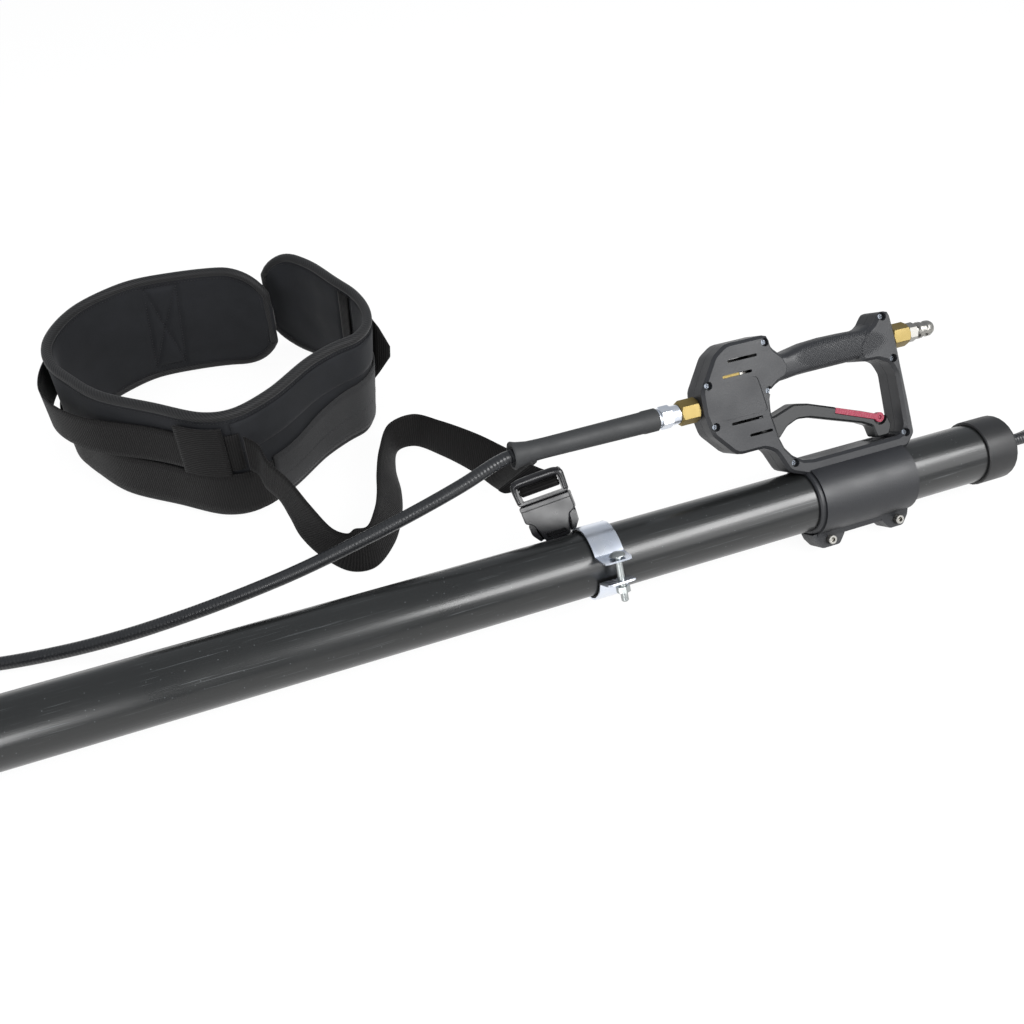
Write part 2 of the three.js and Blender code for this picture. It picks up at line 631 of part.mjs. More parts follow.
function saddleSection() {
  // half ring round the tube with a flange below it, in (y, z), for the half on the -y side
  const shape = new THREE.Shape();
  const flangeZ = -(SADDLE_R + 3.5);
  shape.moveTo(-SPLIT, SADDLE_R);
  shape.absarc(0, 0, SADDLE_R, Math.PI / 2 + 0.01, Math.PI * 1.5 - 0.32, false);
  shape.lineTo(-LUG_DEPTH, flangeZ + 2);
  shape.lineTo(-LUG_DEPTH + 1.5, flangeZ);
  shape.lineTo(-SPLIT, flangeZ);
  shape.lineTo(-SPLIT, -SADDLE_IR);
  shape.absarc(0, 0, SADDLE_IR, Math.PI * 1.5 - 0.01, Math.PI / 2 + 0.01, true);
  return shape;
}

function lugOutline(x) {
  // the lug at the rear end is cut short on its outer side
  const outer = x > 0 ? 4 : 0;
  return roundedOutline([
    [x - 17, -30, 1], [x - 15, -36, 2], [x - 9, -LUG_REACH, 4], [x + 9 - outer, -LUG_REACH, 4],
    [x + 15 - outer, -36, 2], [x + 17 - outer, -30, 1],
  ], 2);
}

function slotCutter(x0, x1, z, y0, y1) {
  const r = SLOT_HEIGHT / 2;
  return plateXZ(roundedOutline([
    [x0, z - r, r], [x1, z - r, r], [x1, z + r, r], [x0, z + r, r],
  ], 2), y0, y1);
}

function cavityCutters() {
  // the pocket for the valve, the trigger's slot, the channel for the inlet tube and the outlet hole
  const wall = SHELL_WALL;
  const pocket = plateXZ(roundedOutline([
    [-106, HOUSING_TOP - wall, 12], [HOUSING_RIGHT - wall - 1, HOUSING_TOP - wall - 1, 6],
    [HOUSING_RIGHT - wall - 3, 116, 8], [HOUSING_RIGHT - wall - 9, 104, 5], [HOUSING_RIGHT - wall - 5, 86, 5],
    [HOUSING_RIGHT - wall + 1, 66, 5], [-80, HOUSING_BOTTOM + wall + 4, 8], [-110, HOUSING_BOTTOM + wall, 10],
    [HOUSING_LEFT + 17, 78, 6], [HOUSING_LEFT + 17, VALVE_BOTTOM - 0.4, 1], [VALVE_LEFT - 2, VALVE_BOTTOM - 0.4, 1],
    [VALVE_LEFT - 2, VALVE_SHOULDER + 0.6, 1], [HOUSING_LEFT + 17, VALVE_SHOULDER + 0.6, 1],
    [HOUSING_LEFT + 17, 127, 6], [-118, 141, 8],
  ], 2), -CAVITY_DEPTH, CAVITY_DEPTH);
  const slotHalf = TRIGGER_HALF + 1;
  const triggerSlot = plateXZ(roundedOutline([
    [-90, 58, 3], [-60, 52, 3], [-56, 90, 3], [-74, 96, 3], [-78, 109, 3], [-91, 109, 3],
  ], 2), -slotHalf, slotHalf);
  const channel = rod(HOUSING_RIGHT - 20, REAR_X + 10, INLET_TUBE / 2 + SEAT_GAP, 20).translate(0, 0, INLET_Z);
  const outlet = rod(HOUSING_LEFT - 5, VALVE_LEFT + 5, 8.3, 20).translate(0, 0, OUTLET_Z);
  const restTrack = box(CATCH_X - 12, CATCH_X + 13, -slotHalf, slotHalf, RAIL_TOP - 2.5, RAIL_TOP + 8);
  return [pocket, triggerSlot, channel, outlet, restTrack];
}

function gunShell(side) {
  // side -1 is the half toward the viewer, +1 the half behind it
  const halfSpace = side < 0 ? box(-300, 300, -100, -SPLIT, -100, 300) : box(-300, 300, SPLIT, 100, -100, 300);
  const frame = plateXZ(shellOutline(), -SHELL_DEPTH, SHELL_DEPTH, SHELL_EDGE, 1);
  const saddle = barX(saddleSection(), -SADDLE_LENGTH / 2, SADDLE_LENGTH / 2);
  const lugs = [-LUG_SCREW_X, LUG_SCREW_X].map((x) => plateXZ(lugOutline(x), -LUG_DEPTH, LUG_DEPTH));
  const bore = rod(-200, 200, SADDLE_IR, 32);
  const rimStart = -SADDLE_LENGTH / 2 - SADDLE_RIM;
  const rimR = SADDLE_IR + SADDLE_RIM_WALL;
  const rim = turned([
    [rimStart, SADDLE_IR - 1], [rimStart, rimR - 1.2], [rimStart + 1.2, rimR], [rimStart + SADDLE_RIM + 2, rimR],
    [rimStart + SADDLE_RIM + 2, SADDLE_IR - 1], [rimStart, SADDLE_IR - 1],
  ], 32);
  const half = side < 0 ? saddle : toGeometry(toSolid(saddle).mirror([0, 1, 0]));
  const whole = join(common(join(frame, gripLoft()), halfSpace), half, common(rim, halfSpace),
    ...lugs.map((lug) => common(lug, halfSpace)));
  const tools = [bore, ...cavityCutters()];
  SHELL_SCREWS.forEach(([x, z]) => {
    const shank = alongY(rod(-SHELL_DEPTH - 1, SHELL_DEPTH - 5, 1.6, 6)).translate(x, 0, z);
    const head = alongY(rod(-SHELL_DEPTH - 1, -SHELL_DEPTH + 4.5, SCREW_RADIUS + SEAT_GAP, 12)).translate(x, 0, z);
    tools.push(shank, head);
  });
  [-LUG_SCREW_X, LUG_SCREW_X].forEach((x) => {
    tools.push(alongY(rod(-20, 20, LUG_SCREW_RADIUS + SEAT_GAP, 12)).translate(x, 0, LUG_SCREW_Z));
    const pocket = hexBar(LUG_DEPTH - NUT_POCKET, LUG_DEPTH + 5, NUT_HEX + 2 * SEAT_GAP, 0);
    tools.push(alongY(pocket).translate(x, 0, LUG_SCREW_Z));
  });
  // two pairs of vent slots through both halves
  [[-107, -79, 136], [-114, -86, 124], [-113, -83, 84], [-98, -76, 71]].forEach(([x0, x1, z]) => {
    tools.push(slotCutter(x0, x1, z, -SHELL_DEPTH - 1, SHELL_DEPTH + 1));
  });
  if (side < 0) {
    const panel = roundedOutline([[-121, 88, 3], [-77, 88, 3], [-82, 119, 5], [-121, 119, 5]]);
    tools.push(plateXZ(panel, -SHELL_DEPTH - 1, -SHELL_DEPTH + 0.6));
  }
  // bosses for the trigger's pivot pin stand inside the pocket
  const bossInner = TRIGGER_HALF + SEAT_GAP;
  const boss = side < 0
    ? alongY(rod(-SHELL_DEPTH + 1, -bossInner, PIVOT_RADIUS + 2.5, 20))
    : alongY(rod(bossInner, SHELL_DEPTH - 1, PIVOT_RADIUS + 2.5, 20));
  const pinSeat = alongY(rod(-SHELL_DEPTH + 2.5, SHELL_DEPTH - 2.5, PIVOT_RADIUS + SEAT_GAP, 16));
  const open = cut(whole, ...tools);
  return cut(join(open, boss.translate(PIVOT_X, 0, PIVOT_Z)), pinSeat.translate(PIVOT_X, 0, PIVOT_Z));
}

function shellScrew(x, z) {
  // pan head sunk in the front shell, driven into the back one
  const face = -SHELL_DEPTH + 4.5 - SEAT_GAP;
  return alongY(turned([
    [face - 3, 0], [face - 3, SCREW_RADIUS - 1], [face - 2, SCREW_RADIUS], [face, SCREW_RADIUS],
    [face, 1.2], [SHELL_DEPTH - 7, 1.2], [SHELL_DEPTH - 6, 0],
  ], 10)).translate(x, 0, z);
}

function valve(gun) {
  const block = plateXZ(roundedOutline([
    [VALVE_LEFT, VALVE_BOTTOM, 1.5], [VALVE_RIGHT, VALVE_BOTTOM, 1.5], [VALVE_RIGHT, VALVE_TOP, 1.5],
    [VALVE_NECK, VALVE_TOP, 3], [VALVE_NECK, VALVE_SHOULDER, 1.5], [VALVE_LEFT, VALVE_SHOULDER, 1.5],
  ], 2), -VALVE_HALF, VALVE_HALF, 1.2, 1);
  const port = INLET_TUBE / 2 + SEAT_GAP;
  const body = cut(block,
    rod(VALVE_LEFT - 1, SEAT_X, BORE_RADIUS, 24).translate(0, 0, OUTLET_Z),
    rod(SEAT_X - 1, SEAT_X + 4, 3, 20).translate(0, 0, OUTLET_Z),
    rod(SEAT_X + 3, VALVE_RIGHT + 1, PIN_RADIUS + SEAT_GAP, 16).translate(0, 0, OUTLET_Z),
    rod(VALVE_RIGHT - 9, VALVE_RIGHT + 1, port, 20).translate(0, 0, INLET_Z));
  piece(gun, 'valve_body', body, 'brass');
  const ballX = SEAT_X - Math.sqrt(BALL_RADIUS ** 2 - 9) - SEAT_GAP;
  const ball = new THREE.SphereGeometry(BALL_RADIUS, 12, 8).translate(ballX, 0, OUTLET_Z);
  piece(gun, 'valve_ball', toGeometry(toSolid(ball)), 'steel');
  const pinLeft = ballX + BALL_RADIUS + SEAT_GAP;
  const pinRight = PIVOT_X + TRIGGER_FACE - SEAT_GAP;
  piece(gun, 'valve_pin', turned([
    [pinLeft, 0], [pinLeft, PIN_RADIUS], [pinRight - 0.9, PIN_RADIUS], [pinRight - 0.3, PIN_RADIUS * 0.6],
    [pinRight, 0],
  ], 16).translate(0, 0, OUTLET_Z), 'steel');
  const springRight = ballX - BALL_RADIUS - SEAT_GAP;
  const springLeft = VALVE_LEFT + 3 + SEAT_GAP;
  const turnsLength = springRight - springLeft - 2 * SPRING_WIRE;
  const radius = BORE_RADIUS - SPRING_WIRE - 0.6;
  class Helix extends THREE.Curve {
    getPoint(t, target = new THREE.Vector3()) {
      const a = t * SPRING_COILS * Math.PI * 2;
      return target.set(springLeft + SPRING_WIRE + t * turnsLength, radius * Math.cos(a), radius * Math.sin(a));
    }
  }
  const wire = new THREE.Shape();
  wire.absarc(0, 0, SPRING_WIRE, 0, Math.PI * 2, false);
  const coil = new THREE.ExtrudeGeometry(wire, {
    steps: SPRING_COILS * 8, extrudePath: new Helix(), curveSegments: 3, bevelEnabled: false,
  });
  piece(gun, 'valve_spring', coil.translate(0, 0, OUTLET_Z), 'steel');
}

function triggerOutline() {
  const cam = PIVOT_X + TRIGGER_FACE;
  return roundedOutline([
    [cam, PIVOT_Z - 6, 3], [cam, OUTLET_Z + 4, 3], [PIVOT_X + 3, OUTLET_Z + 4, 3], [PIVOT_X + 5, 92, 4],
    [-70, 80, 4], [-60, 83, 6], [-48, 86.5, 10], [-34, 84, 16], [20, 65, 10], [CATCH_X - 6, 61.5, 3],
    [CATCH_X + 8, 56, 5], [CATCH_X + 11, 47, 4], [CATCH_X + 7, 38.5, 3.5], [CATCH_X - 6, 38.5, 3.5],
    [CATCH_X - 9, 50, 4], [16, 55, 12], [-34, 71.5, 14], [-46, 73, 10], [-57, 69, 8], [-66, 60.5, 3],
    [-74, 64, 3], [PIVOT_X + 2, 68, 4],
  ], 3);
}

function trigger(gun) {
  const lever = plateXZ(triggerOutline(), -TRIGGER_HALF, TRIGGER_HALF, 1.6, 1);
  const pivot = alongY(rod(-20, 20, PIVOT_RADIUS + SEAT_GAP, 16)).translate(PIVOT_X, 0, PIVOT_Z);
  // the safety catch lies in a pocket along the lever's front upper edge
  const pocket = catchBlade(SEAT_GAP + 0.2, -TRIGGER_HALF - 1, 8);
  const turnRoom = alongY(rod(-TRIGGER_HALF - 1, -TRIGGER_HALF + 5.4, CATCH_SWEEP, 20)).translate(CATCH_X, 0, CATCH_Z);
  const catchPin = alongY(rod(-20, 20, 1.5 + SEAT_GAP, 12)).translate(CATCH_X, 0, CATCH_Z);
  piece(gun, 'trigger', cut(lever, pivot, pocket, turnRoom, catchPin), 'satin_black');
  const pinHalf = SHELL_DEPTH - 2.5 - SEAT_GAP;
  piece(gun, 'trigger_pin', alongY(rod(-pinHalf, pinHalf, PIVOT_RADIUS, 16)).translate(PIVOT_X, 0, PIVOT_Z), 'steel');
  const blade = catchBlade(0, -TRIGGER_HALF + 0.4);
  piece(gun, 'safety_catch', cut(blade, catchPin), 'red');
  const catchPinHalf = TRIGGER_HALF - 1;
  piece(gun, 'catch_pin', alongY(rod(-catchPinHalf, catchPinHalf, 1.5, 12)).translate(CATCH_X, 0, CATCH_Z), 'steel');
}

function catchBlade(grow, frontY, above = 0) {
  // a flat blade from the pivot's round end to its free end near the middle of the lever
  const half = CATCH_WIDTH / 2 + grow;
  const backY = frontY + 4.5 + (frontY < -TRIGGER_HALF ? 2 : 0);
  const blade = plateXZ(roundedOutline([
    [-CATCH_LENGTH - grow, -half, 0.8], [0, -half, 0.5], [0, half + above, 0.5],
    [-CATCH_LENGTH - grow, half + above, 1.2],
  ], 2), frontY, backY);
  const round = alongY(rod(frontY, backY, CATCH_ROUND + grow, 18));
  return join(blade, round).rotateY(radians(CATCH_SLOPE)).translate(CATCH_X, 0, CATCH_Z);
}

function fittings(gun) {
  // outlet side, running toward -x: brass adapter, plated hose end, rubber bend sleeve
  const hexRight = HOUSING_LEFT - SEAT_GAP;
  const hexLeft = hexRight - ADAPTER_LENGTH;
  const shankRight = VALVE_LEFT + 3;
  const adapter = cut(
    join(hexBar(hexLeft, hexRight, ADAPTER_HEX, 1.4), rod(hexLeft + 2, shankRight, BORE_RADIUS - SEAT_GAP, 20)),
    rod(hexLeft - 1, shankRight + 1, 3.2, 14));
  piece(gun, 'outlet_adapter', adapter.translate(0, 0, OUTLET_Z), 'brass');
  const nutRight = hexLeft - SEAT_GAP;
  const fitting = cut(join(
    rod(nutRight - 8, nutRight, 8.2, 22), hexBar(nutRight - 17.6, nutRight - 7, FERRULE_HEX),
    rod(nutRight - HOSE_END_LENGTH, nutRight - 16, 7.4, 22)), rod(nutRight - 30, nutRight + 1, 3, 12));
  piece(gun, 'hose_end', fitting.translate(0, 0, OUTLET_Z), 'zinc');
  const sleeveRight = SLEEVE_LEFT + SLEEVE_LENGTH;
  const sleeveLeft = SLEEVE_LEFT;
  const outer = SLEEVE_DIAMETER / 2;
  const sleeveBore = HOSE_R + SEAT_GAP;
  piece(gun, 'bend_sleeve', turned([
    [sleeveRight, sleeveBore], [sleeveRight, outer - 0.8], [sleeveRight - 1, outer],
    [sleeveRight - 12, outer], [sleeveRight - 14, outer - 0.5], [sleeveLeft + 28, outer - 1.3],
    [sleeveLeft + 14, outer - 0.9], [sleeveLeft + 5, outer + 0.6], [sleeveLeft + 1, SLEEVE_MOUTH / 2],
    [sleeveLeft, SLEEVE_MOUTH / 2 - 0.4], [sleeveLeft, SLEEVE_MOUTH / 2 - 2], [sleeveLeft + 5, sleeveBore],
    [sleeveRight, sleeveBore],
  ], 20).translate(0, 0, OUTLET_Z), 'rubber');
  // inlet side: steel tube through the grip, brass adapter and quick-connect plug
  const tubeLeft = VALVE_RIGHT - 9 + SEAT_GAP;
  piece(gun, 'inlet_tube', pipe(tubeLeft, REAR_X, INLET_TUBE / 2, 4.5, 20).translate(0, 0, INLET_Z), 'steel');
  const inLeft = REAR_X + SEAT_GAP;
  const inRight = inLeft + ADAPTER_LENGTH;
  const inlet = cut(hexBar(inLeft, inRight, ADAPTER_HEX, 1.4), rod(inLeft - 1, inRight + 1, 3.2, 16));
  piece(gun, 'inlet_adapter', inlet.translate(0, 0, INLET_Z), 'brass');
  const plugLeft = inRight + SEAT_GAP;
  const r = PLUG_DIAMETER / 2;
  const stem = turned([
    [plugLeft + 6, 0], [plugLeft + 6, 5.6], [plugLeft + 11, 5.6], [plugLeft + 12.5, r], [plugLeft + 15.5, r],
    [plugLeft + 17, r - 1.6], [plugLeft + 19.5, r - 1.6], [plugLeft + 21, r - 0.4], [plugLeft + 24.5, r - 0.4],
    [plugLeft + 27.5, r - 2], [plugLeft + 28.7, 3.4], [plugLeft + 28.7, 0],
  ], 16);
  const plug = cut(join(hexBar(plugLeft, plugLeft + 9, 15), stem), rod(plugLeft - 1, plugLeft + 40, 2.6, 12));
  piece(gun, 'quick_plug', plug.translate(0, 0, INLET_Z), 'steel');
}

function lugFasteners(gun) {
  [-LUG_SCREW_X, LUG_SCREW_X].forEach((x, i) => {
    const seat = -LUG_DEPTH - SEAT_GAP;
    const end = LUG_DEPTH + NUT_HEIGHT - NUT_POCKET + 1;
    const screw = turned([
      [seat - 4.4, 0], [seat - 4.4, 3.6], [seat - 3.8, 4.2], [seat, 4.2], [seat, LUG_SCREW_RADIUS],
      [end - 0.6, LUG_SCREW_RADIUS], [end, LUG_SCREW_RADIUS - 0.6], [end, 0],
    ], 14);
    piece(gun, `lug_screw_${i + 1}`, alongY(screw).translate(x, 0, LUG_SCREW_Z), 'steel');
    const start = LUG_DEPTH - NUT_POCKET + SEAT_GAP;
    const nutBore = rod(start - 1, start + NUT_HEIGHT + 1, LUG_SCREW_RADIUS + SEAT_GAP, 12);
    const nut = cut(hexBar(start, start + NUT_HEIGHT, NUT_HEX, 0), nutBore);
    piece(gun, `lug_nut_${i + 1}`, alongY(nut).translate(x, 0, LUG_SCREW_Z), 'steel');
  });
}

// ---------------------------------------------------------------- hose

// centre line from the sleeve's mouth down to the floor, out past the view to the coil
const HOSE_FLOOR = -AXIS_HEIGHT + HOSE_R + 0.3;
const HOSE_OUT = [
  [-470, 60.4, 81.5], [-500, 59.6, 77], [-545, 58.6, 56], [-590, 58, 37], [-638, 59.5, 19], [-683, 66, -4],
  [-730, 77, -19], [-780, 86, -29], [-828, 92, HOSE_FLOOR + 0.8], [-880, 99, HOSE_FLOOR], [-930, 110, HOSE_FLOOR],
  [-965, 119, HOSE_FLOOR], [-996.2, 123, HOSE_FLOOR],
];
const COIL_CENTRE = [-1037, 194.6];
const COIL_RADIUS = 66; // at the middle of its turns, which lie two side by side
const COIL_LAYERS = 3;
const HOSE_OVER = HOSE_FLOOR + HOSE_DIAMETER + 1;
// from the coil over the first stretch, back along the pole and round into the butt cap
const HOSE_BACK = [
  [-965.4, 153.8, HOSE_OVER + 4.5], [-964, 118.5, HOSE_OVER + 0.5], [-955, 87, HOSE_FLOOR + 7.5],
  [-929, 61, HOSE_FLOOR + 2.5], [-885, 46, HOSE_FLOOR + 0.4], [-820, 36, HOSE_FLOOR], [-740, 30, HOSE_FLOOR],
  [-500, 29, HOSE_FLOOR],
  [-200, 29, HOSE_FLOOR], [30, 29, HOSE_FLOOR], [84, 31, HOSE_FLOOR], [130, 48, HOSE_FLOOR], [176, 60, HOSE_FLOOR + 4],
  [212, 40, HOSE_FLOOR + 11], [218, 0, -20], [188, -36, -11], [142, -38, -4], [102, -14, -0.5], [72, -2, 0],
  [44, 0, 0],
];

function hoseRun(points, steps, start, end) {
  const route = [start, ...points.map(([x, y, z]) => new THREE.Vector3(x, y, z)), end].filter(Boolean);
  const section = new THREE.Shape();
  section.absarc(0, 0, HOSE_R, 0, Math.PI * 2, false);
  return new THREE.ExtrudeGeometry(section, {
    steps, extrudePath: new THREE.CatmullRomCurve3(route, false, 'centripetal'), curveSegments: 4, bevelEnabled: false,
  });
}

function hose(pole, gunMatrix) {
  // the hose starts a little way up the sleeve's bore and leaves it straight
  const [seat, mouth] = [8, 0].map((x) => new THREE.Vector3(SLEEVE_LEFT + x, 0, OUTLET_Z).applyMatrix4(gunMatrix));
  piece(pole, 'hose_out', hoseRun([mouth.toArray(), ...HOSE_OUT], 27, seat, null), 'rubber');
  const ring = new THREE.LatheGeometry([
    new THREE.Vector2(COIL_RADIUS - HOSE_DIAMETER, -HOSE_R), new THREE.Vector2(COIL_RADIUS + HOSE_DIAMETER, -HOSE_R),
    new THREE.Vector2(COIL_RADIUS + HOSE_DIAMETER, (COIL_LAYERS * 2 - 1) * HOSE_R),
    new THREE.Vector2(COIL_RADIUS - HOSE_DIAMETER, (COIL_LAYERS * 2 - 1) * HOSE_R),
    new THREE.Vector2(COIL_RADIUS - HOSE_DIAMETER, -HOSE_R),
  ], 28).rotateX(Math.PI / 2);
  piece(pole, 'hose_coil', faceOut(ring).translate(COIL_CENTRE[0], COIL_CENTRE[1], HOSE_FLOOR), 'rubber');
  const capEnd = new THREE.Vector3(CAP_OUTER + SEAT_GAP, 0, 0);
  piece(pole, 'hose_back', hoseRun(HOSE_BACK, 46, null, capEnd), 'rubber');
}

// ---------------------------------------------------------------- belt, strap and buckle

// outer face of the pad in plan, from the end of its left wing round to the end of its right wing
const BELT_PLAN = [
  [73, 99], [50, 109], [25, 118], [-15, 124], [-58, 124], [-88, 113], [-114, 96], [-134, 70], [-145, 40],
  [-143, 8], [-128, -23], [-106, -56], [-64, -90], [-24, -120], [2, -124], [38, -108], [82, -73], [107, -60],
  [130, -52], [146, -34], [152, -5], [148, 26], [136, 56], [119, 96], [99, 122], [73, 141],
];

function beltCurve() {
  return new THREE.CatmullRomCurve3(BELT_PLAN.map(([x, y]) => new THREE.Vector3(x, y, 0)), false, 'centripetal');
}

function wrapBand(t0, t1, inset, thickness, lowAt, highAt, standOff = () => 0) {
  // a band that follows the belt's plan from t0 to t1, standing on edge
  const curve = beltCurve();
  const up = new THREE.Vector3(0, 0, 1);
  const rings = [];
  const between = Array.from({ length: BELT_STEPS + 1 }, (_, i) => i / BELT_STEPS).filter((t) => t > t0 && t < t1);
  [t0, ...between, t1].forEach((t) => {
    const outward = new THREE.Vector3().crossVectors(up, curve.getTangentAt(t)).normalize().negate();
    const base = curve.getPointAt(t);
    const near = base.clone().addScaledVector(outward, inset + standOff(t));
    const far = near.clone().addScaledVector(outward, thickness);
    const low = lowAt(t);
    const high = highAt(t);
    rings.push([
      near.clone().setZ(low), far.clone().setZ(low), far.clone().setZ(high), near.clone().setZ(high),
    ]);
  });
  return loft(rings);
}

function belt(parent) {
  const length = beltCurve().getLength();
  // both ends of the pad are rounded in elevation
  const rounding = (t) => {
    const fromEnd = Math.min(t, 1 - t) * length;
    const inCorner = Math.max(0, BELT_CORNER - fromEnd);
    return BELT_CORNER - Math.sqrt(Math.max(0, BELT_CORNER ** 2 - inCorner ** 2)) * 0.98;
  };
  piece(parent, 'belt_pad', wrapBand(0, 1, -BELT_THICKNESS, BELT_THICKNESS, rounding,
    (t) => BELT_HEIGHT - rounding(t)), 'webbing');
  const gap = SEAT_GAP + 0.2;
  const away = (t) => 15 * Math.exp(-(((t - 0.37) / 0.06) ** 2));
  piece(parent, 'belt_web_upper', wrapBand(0.17, 0.572, gap, WEB_THICKNESS, () => UPPER_WEB_Z,
    () => UPPER_WEB_Z + WEB_WIDTH, away), 'webbing');
  piece(parent, 'belt_web_lower', wrapBand(0.17, 0.9, gap, WEB_THICKNESS, () => LOWER_WEB_Z,
    () => LOWER_WEB_Z + LOWER_WEB_WIDTH), 'webbing');
  const loopHalf = LOOP_WIDTH / 2 / length;
  const loopAt = 0.548;
  piece(parent, 'belt_loop', wrapBand(loopAt - loopHalf, loopAt + loopHalf, 2 * gap + WEB_THICKNESS,
    WEB_THICKNESS, () => LOWER_WEB_Z + LOWER_WEB_WIDTH + 1, () => UPPER_WEB_Z + WEB_WIDTH + 5), 'webbing');
  piece(parent, 'belt_patch', wrapBand(0.6, 0.79, gap, WEB_THICKNESS, () => UPPER_WEB_Z,
    () => UPPER_WEB_Z + LOWER_WEB_WIDTH - 4), 'webbing');
}

// the tether: pairs of points on its lower and upper edge, from the belt's loop to the buckle, pole frame
const TETHER_LOW = -AXIS_HEIGHT + 1;
const TETHER_EDGES = [
  [[-650.6, 196, 19.5], [-650.4, 195, 59.5]], [[-645, 188, 18], [-641, 183, 57]],
  [[-642, 174, 12], [-637, 165, 51]], [[-634, 164, 2], [-624, 149, 36]], [[-629, 154, -12], [-612, 133, 16]],
  [[-624, 140, -26], [-599, 119, -3]], [[-612, 122, -37], [-588, 112, -7]], [[-592, 98, TETHER_LOW], [-580, 114, -6]],
  [[-572, 94, TETHER_LOW], [-570, 113, -6]], [[-547, 116, TETHER_LOW], [-558, 130, -4]], [[-530, 149, TETHER_LOW], [-550, 152, -6]],
  [[-522, 178, TETHER_LOW], [-543, 178, -6]], [[-518, 212, TETHER_LOW], [-532, 206, -3]], [[-508, 237, TETHER_LOW], [-514, 235, -1]],
  [[-490, 238, TETHER_LOW], [-490, 240, -0.5]], [[-470, 215, TETHER_LOW], [-467, 221, -1]], [[-450, 183, TETHER_LOW], [-441, 192, -2]],
  [[-439, 152, -37], [-425, 164, 0]], [[-438, 126, -22], [-418, 130, 13]], [[-443, 104, 4], [-415, 100, 33]],
  [[-448, 89, 27], [-413.5, 80, 46]],
];

// the buckle's place: middle of its upper edge, its width, length and face directions
const BUCKLE_TOP = new THREE.Vector3(-430.5, 71.8, 44.3);
const BUCKLE_ACROSS = new THREE.Vector3(0.87, -0.27, 0.4).normalize();
const BUCKLE_DOWN = new THREE.Vector3(0.16, -0.63, -0.76);

function buckleFrame() {
  const across = BUCKLE_ACROSS.clone();
  const back = new THREE.Vector3().crossVectors(across, BUCKLE_DOWN).normalize();
  const down = new THREE.Vector3().crossVectors(back, across).normalize();
  return new THREE.Matrix4().makeBasis(across, down, back).setPosition(BUCKLE_TOP);
}

function flatPlate(corners, z0, z1, edge = 0) {
  // a plate drawn in (x, y), thick in z
  return new THREE.ExtrudeGeometry(roundedOutline(corners, 2), {
    depth: z1 - z0 - 2 * edge, bevelEnabled: edge > 0, bevelThickness: edge, bevelSize: edge, bevelOffset: -edge,
    bevelSegments: 2, curveSegments: 8,
  }).translate(0, 0, z0 + edge);
}

function buckle(plugParent, socketParent) {
  const w = BUCKLE_WIDTH / 2;
  const t = BUCKLE_THICKNESS / 2;
  const slotHalf = BUCKLE_SLOT_WIDTH / 2;
  const slotEnd = BUCKLE_BAR + BUCKLE_SLOT;
  const frameEnd = BUCKLE_FRAME;
  // plug: frame with a thick top bar, the bar for the strap, two sprung prongs and a middle guide
  const frame = flatPlate([[-w, 0, 4], [w, 0, 4], [w, frameEnd, 3], [-w, frameEnd, 3]], -t, t * 0.6, 1);
  const slot = flatPlate([
    [-slotHalf, BUCKLE_BAR, 1], [slotHalf, BUCKLE_BAR, 1], [slotHalf, slotEnd, 1], [-slotHalf, slotEnd, 1],
  ], -t - 2, t + 2);
  const topBar = rod(-w + 1.5, w - 1.5, BUCKLE_BAR * 0.62, 14).translate(0, BUCKLE_BAR * 0.55, -t * 0.45);
  const strapBar = rod(-slotHalf - 1, slotHalf + 1, STRAP_BAR_RADIUS, 10).translate(0, STRAP_BAR_Y, 0);
  const top = frameEnd + SEAT_GAP;
  const end = top + BUCKLE_BODY;
  const prong = (side) => flatPlate([
    [side * (w - 7.6), frameEnd - 2, 1], [side * (w - 4), frameEnd - 2, 1], [side * (w - 3.4), top + 15, 3],
    [side * (w - 1.6), top + 18, 2.5], [side * (w - 1.7), end - 9, 6], [side * (w - 7), end - 1.5, 4],
    [side * (w - 9.2), end - 2.2, 1.4], [side * (w - 7), end - 10, 5], [side * (w - 7), top + 16, 4],
  ], -1.8, 1.8);
  const guide = flatPlate([[-4, frameEnd - 2, 1], [4, frameEnd - 2, 1], [3, frameEnd + 16, 2], [-3, frameEnd + 16, 2]],
    -1.4, 1.4);
  const plug = join(cut(join(frame, topBar), slot), strapBar, prong(-1), prong(1), guide);
  piece(plugParent, 'buckle_plug', plug.applyMatrix4(buckleFrame()), 'gloss_black');
  // socket: flat box with a raised lip, open toward the plug and bitten away where the prongs' heads show
  const shell = flatPlate([
    [-w, top, 2], [w, top, 2], [w, top + 15, 3], [w - 6, top + 17.5, 4], [w - 9.6, end - 9, 8],
    [w - 11.6, end, 2], [-w + 11.6, end, 2], [-w + 9.6, end - 9, 8], [-w + 6, top + 17.5, 4], [-w, top + 15, 3],
  ], -t, t, 1.2);
  const lip = flatPlate([[-w, top, 1.5], [w, top, 1.5], [w, top + 4.6, 1.5], [-w, top + 4.6, 1.5]], -t - 0.8, t + 0.8, 0.8);
  const hollow = box(-w + 1.2, w - 1.2, top - 1, end - 9, -2.3, 2.3);
  const anchorHalf = ANCHOR_WIDTH / 2 - 3;
  const anchorSlot = box(-anchorHalf, anchorHalf, end - 7, end - 3, -t - 1, t + 1);
  const socket = cut(join(shell, lip), hollow, anchorSlot);
  piece(socketParent, 'buckle_socket', socket.applyMatrix4(buckleFrame()), 'gloss_black');
}

